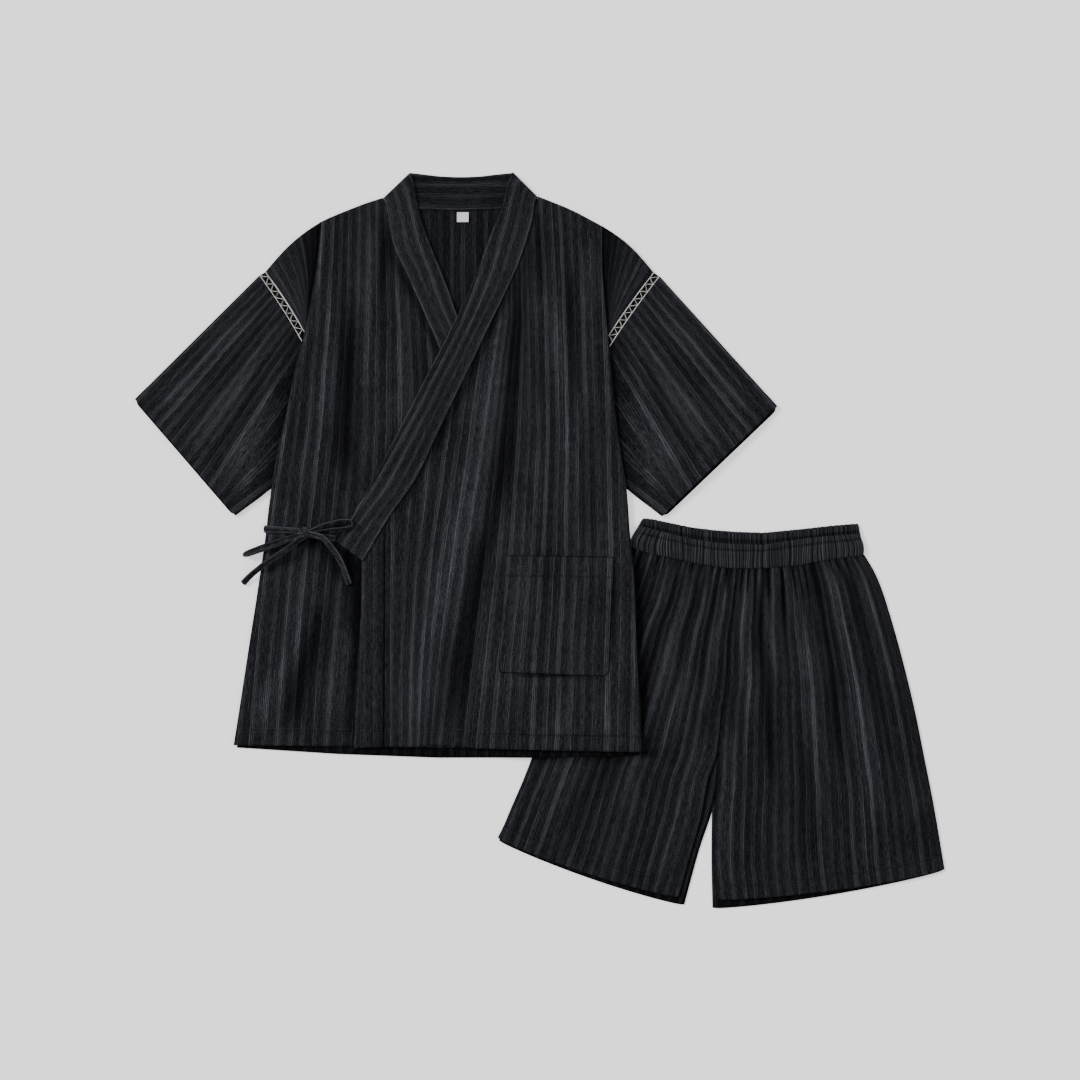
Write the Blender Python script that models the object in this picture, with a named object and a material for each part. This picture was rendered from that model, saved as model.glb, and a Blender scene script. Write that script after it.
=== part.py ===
"""Jinbei set laid flat: a wrapped short-sleeved jacket lying over its gathered shorts.

Every piece is a thin wall of cloth: a grid of points on the middle of the cloth, worked out from the
tables below, with its thickness from a Solidify modifier. Tables are in millimetres, X to the right,
Y towards the collar, Z up from the surface that the set lies on. Right and left are the wearer's.
"""

import math
from collections import namedtuple

import bmesh
import bpy
from mathutils import Vector

MM = 0.001
WALL = 1.2            # thickness of the cloth with its seam allowances
SEAM = 0.3            # gap kept between pieces that are sewn together

# Heights of the middle of each layer of cloth above the surface
BACK_Z = 0.6
CAP_Z = 4.0           # shoulder cap and upper side of a sleeve where it meets the lace
SLEEVE_UNDER_Z = 2.3  # lower side of a sleeve where it lies on the back
FRONT_RIGHT_Z = 2.4
FRONT_LEFT_Z = 5.6
LAYER = 1.6           # from the middle of one layer to the middle of the next

# The jacket climbs onto the shorts over this ramp
SHORTS_HEIGHT = 6.0
RAMP = 78.0
RAMP_SAG = 0.8        # the back hangs a little lower than the layers on it along the ramp
SHORTS_SIDE = ((130.0, -14.0), (-55.6, -410.0))
SHORTS_TOP_Y = 45.0
SHORTS_TOP_RAMP = 50.0

CHARCOAL = (0.030, 0.031, 0.034)
CHARCOAL_LIGHT = (0.040, 0.041, 0.045)
LACE_WHITE = (0.62, 0.62, 0.61)
LABEL_WHITE = (0.85, 0.85, 0.84)

# One row for each line of the front panels, from the shoulder to the hem: the inner edge, the crease of
# the side pleat, the outer edge, the heights of pleat and outer edge.
FrontRow = namedtuple("FrontRow", "in_x in_y fold_x fold_y edge_x edge_y fold_z edge_z")
FRONT_RIGHT_ROWS = (
    FrontRow(-219.5, 462.3, -298, 431, -377, 362, 4.2, 4.0),
    FrontRow(-199, 430, -300, 407, -362, 339, 6.2, 4.0),
    FrontRow(-192, 402, -303, 380, -347, 316, 8.2, 4.0),
    FrontRow(-175, 360, -309, 341, -333, 294, 8.8, 4.0),
    FrontRow(-160, 327, -315, 306, -324, 280, 8.8, 4.0),
    FrontRow(-146, 293, -320, 280, -314, 280, 8.8, 5.6),
    FrontRow(-127, 256, -329, 245, -323, 245, 8.8, 5.6),
    FrontRow(-92, 180, -345, 170, -339, 170, 8.8, 5.6),
    FrontRow(-66, 125, -360, 105, -354, 105, 8.8, 5.6),
    FrontRow(-46, 80, -366, 66, -362, 66, 8.2, 5.4),
    FrontRow(-33, 27, -371, 18, -371, 18, 5.2, 1.0),
    FrontRow(-47, -60, -382, -60, -382, -60, 5.2, 1.0),
    FrontRow(-57, -150, -396, -150, -396, -150, 5.2, 1.0),
    FrontRow(-66, -222, -407, -222, -407, -222, 5.2, 1.0),
    FrontRow(-72, -284, -416, -280, -416, -280, 5.2, 1.0),
)
FRONT_LEFT_ROWS = (
    FrontRow(3.5, 465.5, 84, 424, 156, 363, 4.8, 4.0),
    FrontRow(-24, 425, 84, 400, 143, 345, 6.4, 4.0),
    FrontRow(-38, 385, 84, 376, 130, 327, 8.2, 4.0),
    FrontRow(-58, 340, 87, 331, 110, 300, 8.8, 4.0),
    FrontRow(-74, 306, 90, 298, 97, 282, 8.8, 4.0),
    FrontRow(-92, 267, 92, 272, 86, 272, 8.8, 5.6),
    FrontRow(-114, 222, 96, 225, 90, 225, 8.8, 5.6),
    FrontRow(-144, 160, 102, 165, 96, 165, 8.8, 5.6),
    FrontRow(-169, 108, 110, 112, 104, 112, 8.8, 5.6),
    FrontRow(-186, 74, 117, 71, 113, 71, 8.2, 5.4),
    FrontRow(-209.5, 26, 123, 20, 123, 20, 5.6, 1.0),
    FrontRow(-209.5, -60, 129, -60, 129, -60, 5.6, 1.0),
    FrontRow(-208.5, -150, 132, -150, 132, -150, 5.6, 1.0),
    FrontRow(-207.7, -222, 135, -222, 135, -222, 5.6, 1.0),
    FrontRow(-207, -282, 137, -289, 137, -289, 5.6, 1.0),
)

FRONT_RIGHT_COLUMNS = 12
FRONT_LEFT_COLUMNS = 13

# One row for each line of the overlap strips: seam side and free side
StripRow = namedtuple("StripRow", "seam_x seam_y free_x free_y")
OKUMI_RIGHT_ROWS = (
    StripRow(-32.4, 27, 5, -22),
    StripRow(-46.4, -60, -1, -80),
    StripRow(-56.4, -150, -12, -155),
    StripRow(-65.4, -222, -20, -224),
    StripRow(-71.4, -284, -26, -284),
)
OKUMI_LEFT_ROWS = (
    StripRow(-210.1, 26, -249, -25),
    StripRow(-210.1, -60, -243.5, -80),
    StripRow(-209.1, -150, -247.5, -155),
    StripRow(-208.3, -222, -251, -224),
    StripRow(-207.6, -282, -253.5, -284),
)

# The back follows the outer edges of the fronts down to its own hem, which hangs a little lower
BACK_ROWS_USED = (1, 2, 3, 4, 6, 7, 8, 9, 10, 11, 12, 13, 14)
BACK_CAP_ROWS = 5
BACK_EDGE_INSET = 1.6
BACK_HEM_DROP = (2.6, 12.0, 3.4)
BACK_COLUMNS = 16
# The top line of the back: shoulder, neck, shoulder
BackTop = namedtuple("BackTop", "x y")
BACK_TOP = (
    BackTop(-376.4, 360.6), BackTop(-298, 429.4), BackTop(-214, 461.4), BackTop(-167, 450.8),
    BackTop(-113, 449.2), BackTop(-56, 450.8), BackTop(-1, 463.6), BackTop(84, 422.2), BackTop(155.4, 361.2),
)

# Largest folds of the cloth: a soft ridge along each line
Fold = namedtuple("Fold", "x0 y0 x1 y1 width height")
FOLDS_RIGHT = (
    Fold(-240, 440, -236, 190, 15, 2.6),
    Fold(-330, -10, -376, -200, 16, 3.4),
    Fold(-272, -80, -284, -250, 15, 2.8),
)
FOLDS_LEFT = (
    Fold(-4, 440, -50, 286, 11, 2.2),
    Fold(-54, 286, -95, 54, 15, 4.0),
    Fold(-95, 54, -150, -280, 18, 5.0),
    Fold(26, 400, 47, 60, 14, 2.6),
    Fold(66, 420, 62, 190, 12, 2.4),
)

# Collar band: sewn edge, free edge and height of the middle of the cloth at each section
CollarRow = namedtuple("CollarRow", "sewn_x sewn_y free_x free_y z")
COLLAR_ROWS = (
    CollarRow(-241, -29, -278, -2, 7.2),
    CollarRow(-222, 4, -268, 12, 7.2),
    CollarRow(-203, 35, -255, 34, 7.2),
    CollarRow(-170.5, 81, -230, 80, 7.2),
    CollarRow(-134, 157, -196, 143, 7.2),
    CollarRow(-98, 231, -160, 213, 7.2),
    CollarRow(-70, 290, -132, 268, 7.2),
    CollarRow(-48, 335, -108, 316, 7.2),
    CollarRow(-31, 372, -88, 362, 7.2),
    CollarRow(-16.5, 412, -67, 417, 7.2),
    CollarRow(-9, 440, -52, 455, 7.2),
    CollarRow(-4.2, 463, -40.5, 495, 7.0),
    CollarRow(-1.2, 467, -37, 501, 5.8),
    CollarRow(-0.4, 468, -36, 501.9, 3.9),
    CollarRow(-1.6, 466.6, -37.6, 501, 1.6),
    CollarRow(-6, 464.6, -43, 499.6, 0.6),
    CollarRow(-56, 451.6, -66, 496.8, 0.6),
    CollarRow(-85, 450.8, -84, 494.2, 0.6),
    CollarRow(-113, 450.0, -108, 493.3, 0.6),
    CollarRow(-140, 450.8, -132.5, 494.3, 0.6),
    CollarRow(-167, 451.6, -152, 496.6, 0.6),
    CollarRow(-211, 463.6, -172, 499.8, 0.6),
    CollarRow(-215.3, 465.3, -177.6, 501.6, 1.2),
    CollarRow(-216, 466, -178.4, 501.9, 2.3),
    CollarRow(-215, 465, -177.2, 501, 3.4),
    CollarRow(-212.6, 462, -174.8, 495, 4.0),
    CollarRow(-207.5, 436, -166, 452, 4.0),
    CollarRow(-200.3, 402, -152, 408, 4.0),
    CollarRow(-185.3, 370, -134, 364, 4.0),
    CollarRow(-165.5, 327, -113, 308, 4.0),
    CollarRow(-134.8, 256, -88, 248, 4.0),
    CollarRow(-98.6, 180, -52, 174, 4.0),
    CollarRow(-60, 100, -12, 98, 4.0),
    CollarRow(-24.7, 25, 22, 30, 4.0),
    CollarRow(1, -29, 38, -2, 4.0),
)

# Sleeves: the opening at the lace and the cuff, each from the shoulder edge to the underarm
SleevePoint = namedtuple("SleevePoint", "x y")
SleeveCut = namedtuple("SleeveCut", "armhole cuff back_from")
SLEEVE_RIGHT = SleeveCut(
    (SleevePoint(-386.4, 356.2), SleevePoint(-356, 311), SleevePoint(-327.4, 266.6),
     SleevePoint(-316, 215), SleevePoint(-328, 150), SleevePoint(-347, 86)),
    (SleevePoint(-551.7, 190.8), SleevePoint(-417.3, 35.1)), 0.42)
SLEEVE_LEFT = SleeveCut(
    (SleevePoint(165.1, 356.5), SleevePoint(131, 311), SleevePoint(98.7, 267.0),
     SleevePoint(78, 220), SleevePoint(82, 150), SleevePoint(96, 88)),
    (SleevePoint(322.5, 181.2), SleevePoint(168.2, 33.8)), 0.42)
SLEEVE_FOLDS_RIGHT = (
    Fold(-380, 330, -500, 150, 14, 3.0),
    Fold(-352, 280, -452, 92, 14, 3.4),
)
SLEEVE_FOLDS_LEFT = (
    Fold(166, 330, 275, 160, 14, 3.0),
    Fold(134, 285, 214, 100, 14, 3.4),
)
CUFF_SHOWS = 3.4      # the lower side of the left cuff reaches this far past the upper side

# Lace trims, from the side pleat up to the shoulder, along the cap's edge
LaceCut = namedtuple("LaceCut", "low_x low_y high_x high_y out_x out_y")
LACE_WIDTH = 9.6
LACE_RIGHT = LaceCut(-321.6, 275.9, -377, 361.6, -0.840, -0.543)
LACE_LEFT = LaceCut(95.6, 280.1, 156, 362.4, 0.806, -0.592)

# Shorts: one row for each line of a leg, from the waistband to the hem
LegRow = namedtuple("LegRow", "in_x in_y out_x out_y")
LEG_RIGHT_ROWS = (
    LegRow(276.6, -39.6, 130, -15.4),
    LegRow(272, -68, 117, -38),
    LegRow(266, -104, 101, -66),
    LegRow(260.4, -134, 82, -102),
    LegRow(255, -190, 53, -166),
    LegRow(248.6, -238, 26, -222),
    LegRow(243.6, -287, -4, -284),
    LegRow(230, -329, -22, -329),
    LegRow(219, -377, -37, -366),
    LegRow(205, -430, -48, -392),
    LegRow(190, -484, -55.6, -406),
)
LEG_LEFT_ROWS = (
    LegRow(277.4, -39.6, 440, -21.4),
    LegRow(272.8, -68, 452, -44),
    LegRow(266.8, -104, 462, -68),
    LegRow(261.2, -134, 478, -105),
    LegRow(255.8, -190, 500, -176),
    LegRow(249.4, -238, 516, -238),
    LegRow(245, -287, 528, -300),
    LegRow(243, -329, 537, -345),
    LegRow(239, -377, 543, -385),
    LegRow(238, -430, 547, -420),
    LegRow(244, -490, 551.2, -450),
)
LEG_BACK_RIGHT_ROWS = (
    LegRow(276.6, -39.6, 130, -15.4),
    LegRow(263, -134, 82, -102),
    LegRow(252, -238, 26, -222),
    LegRow(243.5, -330, -6, -288),
    LegRow(229.4, -377, -37, -366),
    LegRow(216, -423.5, -48, -392),
    LegRow(196.6, -495.5, -55.6, -409.8),
)
LEG_BACK_LEFT_ROWS = (
    LegRow(277.4, -39.6, 440, -21.4),
    LegRow(263.8, -134, 478, -105),
    LegRow(252.8, -238, 516, -238),
    LegRow(244.2, -330, 530, -310),
    LegRow(237.6, -377, 543, -385),
    LegRow(237, -430, 547, -420),
    LegRow(238.4, -502.4, 551.2, -450.8),
)
LEG_Z = 2.5
# Each fold starts under the gathered band: place along the band, end on the hem, length and height
LegFold = namedtuple("LegFold", "at_band at_hem reach width height")
LEG_RIGHT_FOLDS = (
    LegFold(0.06, 0.08, 0.75, 0.040, 3.2),
    LegFold(0.20, 0.26, 0.60, 0.045, 3.0),
    LegFold(0.36, 0.44, 0.95, 0.045, 3.0),
    LegFold(0.52, 0.62, 0.40, 0.045, 2.2),
)
LEG_LEFT_FOLDS = (
    LegFold(0.08, 0.10, 0.55, 0.040, 3.0),
    LegFold(0.22, 0.24, 0.90, 0.045, 3.4),
    LegFold(0.38, 0.42, 0.60, 0.045, 3.0),
    LegFold(0.56, 0.60, 0.95, 0.045, 3.4),
    LegFold(0.74, 0.78, 0.70, 0.045, 2.8),
)

# Waistband, a flattened ring: front edges and back edges at stations from the right side to the left
BandRow = namedtuple("BandRow", "x bottom_y top_y back_top_y")
BAND_ROWS = (
    BandRow(134.0, -13.4, 18.5, 26.0),
    BandRow(155.0, -16.8, 14.0, 25.0),
    BandRow(184.0, -24.6, 6.8, 19.0),
    BandRow(207.0, -30.4, 1.2, 14.6),
    BandRow(236.0, -35.2, -3.5, 11.4),
    BandRow(268.0, -38.4, -5.8, 9.2),
    BandRow(306.0, -37.6, -6.9, 9.2),
    BandRow(354.0, -34.0, 1.0, 14.0),
    BandRow(399.0, -25.4, 5.5, 18.8),
    BandRow(433.0, -20.6, 8.0, 21.6),
)
BAND_GAP = 0.4
BAND_BACK_Z = 0.7
BAND_FRONT_Z = 3.4
BAND_SCALLOPS = 13
SCALLOP_HEIGHT = 0.8

# Pocket and label
PocketRow = namedtuple("PocketRow", "left_x left_y right_x right_y")
POCKET_ROWS = (
    PocketRow(-46, -20.8, 101.4, -22.9),
    PocketRow(-48, -48, 100.4, -50),
    PocketRow(-51, -88, 98, -92),
    PocketRow(-54, -128, 96, -134),
    PocketRow(-57, -166, 94, -172),
    PocketRow(-57, -181, 89, -184.6),
)
LABEL_SIZE = (17.6, 15.6, 1.0)
LABEL_CENTRE = (-105.5, 441.0, 2.1)

# Ties: middle line of each stretch, with the tilt of the tape about that line in degrees
TIE_WIDTH = 8.6
TIE_THICK = 1.4
KNOT_CENTRE = (-321.0, 10.6, 11.6)
KNOT_SIZE = (16.0, 12.4, 9.6)
TiePoint = namedtuple("TiePoint", "x y z tilt")
TIES = {
    "tie_side": (
        TiePoint(-376.5, 15, 7.6, 15), TiePoint(-370, 14.6, 7.9, 8), TiePoint(-360, 14, 7.9, 4),
        TiePoint(-345, 13, 7.8, 0), TiePoint(-328.6, 12, 7.8, 0)),
    "tie_side_loop": (
        TiePoint(-329.8, 8.6, 12.0, 70), TiePoint(-342, 5.0, 12.0, 70), TiePoint(-360, -1.6, 11.4, 70),
        TiePoint(-379, -8, 9.6, 75), TiePoint(-394, -14, 6.0, 80), TiePoint(-401.4, -18, 4.6, 85),
        TiePoint(-401.8, -22.6, 4.6, 90), TiePoint(-396.6, -23, 5.0, 85), TiePoint(-380, -16.6, 9.2, 75),
        TiePoint(-362, -9.4, 11.2, 70), TiePoint(-344, -2.0, 12.0, 70), TiePoint(-328.6, 5.0, 12.0, 70)),
    "tie_side_tail": (
        TiePoint(-325.2, 2.6, 16.2, 10), TiePoint(-336, -5.4, 16.4, 10), TiePoint(-348, -13, 16.6, 10),
        TiePoint(-360, -21.4, 16.6, 10), TiePoint(-371, -32, 14.4, 20), TiePoint(-381, -41, 10.6, 30),
        TiePoint(-392, -50, 6.0, 25), TiePoint(-403, -60.6, 2.6, 10)),
    "tie_collar": (
        TiePoint(-280.2, 2.4, 7.2, 0), TiePoint(-290, 4, 7.6, 0),
        TiePoint(-302, 6, 7.8, 0), TiePoint(-315, 8, 7.8, 0)),
    "tie_collar_loop": (
        TiePoint(-312.4, 13.8, 12.4, 70), TiePoint(-300, 20.4, 12.4, 70), TiePoint(-284, 25.6, 12.8, 70),
        TiePoint(-268, 28.4, 13.0, 75), TiePoint(-259, 28.2, 13.0, 85), TiePoint(-255.6, 23.6, 13.0, 90),
        TiePoint(-257, 18.0, 13.0, 85), TiePoint(-266, 16.8, 13.0, 75), TiePoint(-284, 14.8, 13.0, 70),
        TiePoint(-300, 12.2, 12.6, 70), TiePoint(-311.8, 10.2, 12.4, 70)),
    "tie_collar_tail": (
        TiePoint(-314.6, 8.6, 17.2, 5), TiePoint(-304, 6.4, 17.2, 5), TiePoint(-294, 1.8, 16.6, 10),
        TiePoint(-286, -7.6, 14.6, 15), TiePoint(-279, -17, 12.4, 15), TiePoint(-272.6, -28, 10.4, 12),
        TiePoint(-266, -44, 7.8, 10), TiePoint(-260.6, -61, 5.2, 5)),
}


def remove_all_objects():
    for thing in list(bpy.data.objects):
        bpy.data.objects.remove(thing, do_unlink=True)


def cloth_material(name, colour, roughness=0.9):
    material = bpy.data.materials.new(name)
    material.use_nodes = True
    shader = material.node_tree.nodes["Principled BSDF"]
    shader.inputs["Base Color"].default_value = (*colour, 1.0)
    shader.inputs["Roughness"].default_value = roughness
    shader.inputs["Metallic"].default_value = 0.0
    return material


def smooth(value):
    """0 to 1 with soft ends."""
    value = min(1.0, max(0.0, value))
    return value * value * (3.0 - 2.0 * value)


def mix(a, b, t):
    return a + (b - a) * t


def polyline_at(points, t):
    """The point at t (0 to 1, by index) along a short list of points."""
    place = t * (len(points) - 1)
    index = min(int(place), len(points) - 2)
    rest = place - index
    return tuple(mix(a, b, rest) for a, b in zip(points[index], points[index + 1]))


def beyond_line(x, y, line):
    """Distance of a point to the right of a line given by two points, top first."""
    (x0, y0), (x1, y1) = line
    dx, dy = x1 - x0, y1 - y0
    return -((x - x0) * dy - (y - y0) * dx) / math.hypot(dx, dy)


def lift(x, y):
    """How far the shorts raise the jacket at a point."""
    sideways = smooth((beyond_line(x, y, SHORTS_SIDE) + RAMP + 4.0) / RAMP)
    lengthways = smooth((SHORTS_TOP_Y - y) / SHORTS_TOP_RAMP)
    return SHORTS_HEIGHT * sideways * lengthways


def ridge(x, y, fold):
    """Height of one soft fold at a point."""
    dx, dy = fold.x1 - fold.x0, fold.y1 - fold.y0
    length = math.hypot(dx, dy)
    along = ((x - fold.x0) * dx + (y - fold.y0) * dy) / length
    across = ((x - fold.x0) * dy - (y - fold.y0) * dx) / length
    ends = smooth((along + 30.0) / 40.0) * smooth((length + 30.0 - along) / 40.0)
    return fold.height * ends * math.exp(-(across / fold.width) ** 2)


def ridges(x, y, folds):
    return max((ridge(x, y, fold) for fold in folds), default=0.0)


def add_wall(name, rows, material, ring=False, wall=WALL):
    """A closed wall of cloth round a grid of points on its middle, in millimetres."""
    sheet = bmesh.new()
    grid = [[sheet.verts.new(Vector(point) * MM) for point in row] for row in rows]
    columns = len(rows[0])
    last = columns if ring else columns - 1
    for upper, lower in zip(grid, grid[1:]):
        for column in range(last):
            after = (column + 1) % columns
            sheet.faces.new((upper[column], lower[column], lower[after], upper[after]))
    mesh = bpy.data.meshes.new(name)
    sheet.to_mesh(mesh)
    sheet.free()
    mesh.shade_smooth()
    cloth = bpy.data.objects.new(name, mesh)
    bpy.context.collection.objects.link(cloth)
    cloth.data.materials.append(material)
    solid = cloth.modifiers.new("wall", "SOLIDIFY")
    solid.thickness = wall * MM
    solid.offset = 0.0
    solid.use_even_offset = True
    solid.use_quality_normals = True
    return cloth


def front_height(row, base_z, across):
    """Height of a front panel between its inner edge (0) and its side pleat (1)."""
    climb = smooth((across - 0.52) / 0.44)
    return mix(base_z, row.fold_z, climb)


def front_grid(rows, base_z, folds, side, inner_columns):
    """Points of a front: shoulder roll, flat part, side pleat, and cap or turned-in edge."""
    grid = []
    for row in rows:
        line = []
        for column in range(inner_columns + 1):
            across = column / inner_columns
            x = mix(row.in_x, row.fold_x, across)
            y = mix(row.in_y, row.fold_y, across)
            inside = across * math.hypot(row.fold_x - row.in_x, row.fold_y - row.in_y)
            fade = smooth((inside - 12.0) / 16.0) * smooth((1.0 - across) / 0.08)
            z = front_height(row, base_z, across) + ridges(x, y, folds) * fade + lift(x, y)
            line.append((x, y, z))
        line.extend(pleat_points(row, side))
        grid.append(line)
    return shoulder_roll(grid) + grid


def pleat_points(row, side):
    """The cloth outside the pleat's crease: down to the cap, or round and under at the side."""
    raised = lift(row.fold_x, row.fold_y)
    drop = row.fold_z - row.edge_z
    reach_x = row.edge_x - row.fold_x
    reach_y = row.edge_y - row.fold_y
    is_cap = reach_x * side > 0
    radius = drop / 2.0
    points = []
    for step in (1, 2, 3, 4):
        turn = math.pi * step / 4
        if is_cap:
            out = 0.8 * step
            x, y = row.fold_x + side * out, row.fold_y - out * 0.4
        else:
            out = radius * math.sin(turn)
            x, y = row.fold_x + side * out, row.fold_y
        points.append((x, y, row.fold_z - radius * (1.0 - math.cos(turn)) + raised))
    if is_cap or abs(reach_x) > 0.5:
        last_x, last_y, last_z = points[-1]
        for step in (1, 2):
            share = step / 2
            points.append((mix(last_x, row.edge_x, share), mix(last_y, row.edge_y, share), last_z))
    else:
        x, y, z = points[-1]
        points.append((x - side * 0.4, y, z))
        points.append((x - side * 0.8, y, z))
    return points


def shoulder_roll(grid):
    """Three rows that carry the top row over the shoulder and down to the back."""
    top, below = grid[0], grid[1]
    rolled = []
    for step in (3, 2, 1):
        turn = math.pi * 0.94 * step / 3
        line = []
        for index, (x, y, z) in enumerate(top):
            radius = max(0.55, (z - 1.0) / 2.0)
            before = top[max(0, index - 1)]
            after = top[min(len(top) - 1, index + 1)]
            along = Vector((after[0] - before[0], after[1] - before[1])).normalized()
            out = Vector((-along.y, along.x))
            if out.y < 0.0:
                out = -out
            reach = radius * math.sin(turn)
            line.append((x + out.x * reach, y + out.y * reach, z - radius * (1.0 - math.cos(turn))))
        rolled.append(line)
    return rolled


def make_front_right():
    grid = front_grid(FRONT_RIGHT_ROWS, FRONT_RIGHT_Z, FOLDS_RIGHT, -1, FRONT_RIGHT_COLUMNS)
    return add_wall("front_right", grid, cloth_material("front_right", CHARCOAL))


def make_front_left():
    grid = front_grid(FRONT_LEFT_ROWS, FRONT_LEFT_Z, FOLDS_LEFT, 1, FRONT_LEFT_COLUMNS)
    return add_wall("front_left", grid, cloth_material("front_left", CHARCOAL))


def make_okumi(name, rows, base_z):
    grid = []
    for row in rows:
        line = []
        for column in range(3):
            x = mix(row.seam_x, row.free_x, column / 2)
            y = mix(row.seam_y, row.free_y, column / 2)
            line.append((x, y, base_z + lift(x, y)))
        grid.append(line)
    return add_wall(name, grid, cloth_material(name, CHARCOAL))


def back_row(number):
    """Ends of one line of the back: along the lace beside the caps, then along the side pleats."""
    ends = []
    for row, side in ((FRONT_RIGHT_ROWS[number], -1), (FRONT_LEFT_ROWS[number], 1)):
        if number < BACK_CAP_ROWS:
            ends.append((row.edge_x, row.edge_y))
        else:
            ends.append((row.fold_x - side * BACK_EDGE_INSET, row.fold_y))
    return ends


def back_height(x, y):
    """The back lies on the surface, and sags a little along the ramp onto the shorts."""
    raised = lift(x, y)
    return BACK_Z + raised - RAMP_SAG * math.sin(math.pi * raised / SHORTS_HEIGHT)


def make_back():
    """The back lies flat on the surface and climbs onto the shorts."""
    top = [polyline_at(BACK_TOP, column / BACK_COLUMNS) for column in range(BACK_COLUMNS + 1)]
    grid = [[(x, y, BACK_Z) for x, y in top]]
    hem = BACK_ROWS_USED[-1]
    for number in BACK_ROWS_USED:
        (left_x, left_y), (right_x, right_y) = back_row(number)
        follow = max(0.0, 1.0 - number / 3.0) * 0.6
        line = []
        for column in range(BACK_COLUMNS + 1):
            t = column / BACK_COLUMNS
            straight_x = mix(BACK_TOP[0].x, BACK_TOP[-1].x, t)
            x = mix(left_x, right_x, t) + (top[column][0] - straight_x) * follow
            y = mix(left_y, right_y, t) + 60.0 * math.sin(math.pi * t) * follow
            if number == hem:
                y -= polyline_at([(drop,) for drop in BACK_HEM_DROP], t)[0]
            line.append((x, y, back_height(x, y)))
        grid.append(line)
    return add_wall("jacket_back", grid, cloth_material("jacket_back", CHARCOAL))


def make_collar():
    """One band, sewn round the neck and down both fronts, folded over at the shoulders."""
    grid = []
    for row in COLLAR_ROWS:
        line = []
        for column in range(4):
            x = mix(row.sewn_x, row.free_x, column / 3)
            y = mix(row.sewn_y, row.free_y, column / 3)
            line.append((x, y, row.z + lift(x, y)))
        grid.append(line)
    return add_wall("collar", grid, cloth_material("collar", CHARCOAL))


def sleeve_point(cut, t, out):
    inner = polyline_at(cut.armhole, t)
    outer = polyline_at(cut.cuff, t)
    return mix(inner[0], outer[0], out), mix(inner[1], outer[1], out)


def make_sleeve(name, cut, folds):
    """A flat tube from the lace to the cuff: upper side, underarm edge, lower side, shoulder edge."""
    sections = (0.0, 0.08, 0.18, 0.32, 0.50, 0.70, 0.88, 1.0)
    across_top = 8
    across_bottom = 5
    grid = []
    for out in sections:
        line = []
        x0, y0 = sleeve_point(cut, 0.0, out)
        x1, y1 = sleeve_point(cut, 1.0, out)
        down = Vector((x1 - x0, y1 - y0)).normalized()
        puff = 1.6 * smooth((out - 0.25) / 0.4)
        flat = 1.0 - smooth((out - 0.34) / 0.2)
        for column in range(across_top + 1):
            t = column / across_top
            x, y = sleeve_point(cut, t, out)
            fade = smooth(out / 0.2) * smooth(t / 0.12) * smooth((1.0 - t) / 0.12)
            fade *= 1.0 - smooth((t - 0.35) / 0.1) * flat
            z = CAP_Z + puff * math.sin(math.pi * t) + ridges(x, y, folds) * fade
            line.append((x, y, z))
        under_end = BACK_Z + (SLEEVE_UNDER_Z - BACK_Z) * flat
        line.extend(edge_turn((x1, y1), down, CAP_Z, under_end))
        shows = CUFF_SHOWS * smooth((out - 0.88) / 0.12)
        for column in range(across_bottom + 1):
            t = 1.0 - column / across_bottom
            x, y = sleeve_point(cut, t, out)
            on_back = smooth((t - cut.back_from + 0.10) / 0.08) * flat
            toward = Vector((x - sleeve_point(cut, t, 0.9)[0], y - sleeve_point(cut, t, 0.9)[1]))
            if toward.length > 0.0:
                toward = toward.normalized() * shows * smooth(min(t, 1.0 - t) / 0.15)
            line.append((x + toward.x, y + toward.y, BACK_Z + (SLEEVE_UNDER_Z - BACK_Z) * on_back))
        line.extend(edge_turn((x0, y0), -down, BACK_Z, CAP_Z))
        grid.append(line)
    return add_wall(name, grid, cloth_material(name, CHARCOAL), ring=True)


def edge_turn(place, out, z_from, z_to):
    """Two points that carry the cloth round a folded edge from one height to another."""
    middle = (z_from + z_to) / 2.0
    radius = abs(z_to - z_from) / 2.0
    points = []
    for turn in (math.radians(60), math.radians(120)):
        reach = radius * math.sin(turn)
        z = middle + (z_from - middle) * math.cos(turn)
        points.append((place[0] + out.x * reach, place[1] + out.y * reach, z))
    return points


def make_lace(name, cut):
    """A narrow strip between cap and sleeve that goes over the shoulder edge to the underside."""
    grid = []
    along = Vector((cut.high_x - cut.low_x, cut.high_y - cut.low_y)).normalized()
    stations = [(t, 0.0, CAP_Z) for t in (0.0, 0.25, 0.5, 0.75, 1.0)]
    radius = (CAP_Z - BACK_Z) / 2.0
    for turn in (60, 120):
        angle = math.radians(turn)
        stations.append((1.0, radius * math.sin(angle), BACK_Z + radius * (1.0 + math.cos(angle))))
    stations.extend((t, 0.0, BACK_Z) for t in (1.0, 0.75, 0.5, 0.25, 0.09))
    for t, past, z in stations:
        x = mix(cut.low_x, cut.high_x, t) + along.x * past
        y = mix(cut.low_y, cut.high_y, t) + along.y * past
        line = []
        for column in range(3):
            reach = SEAM + (LACE_WIDTH - 2 * SEAM) * column / 2
            line.append((x + cut.out_x * reach, y + cut.out_y * reach, z))
        grid.append(line)
    return add_wall(name, grid, cloth_material(name, LACE_WHITE, 0.8))


def band_bottom(x):
    """The band's lower edge at x."""
    for first, second in zip(BAND_ROWS, BAND_ROWS[1:]):
        if first.x <= x <= second.x:
            return mix(first.bottom_y, second.bottom_y, (x - first.x) / (second.x - first.x))
    return BAND_ROWS[0].bottom_y if x < BAND_ROWS[0].x else BAND_ROWS[-1].bottom_y


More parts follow.
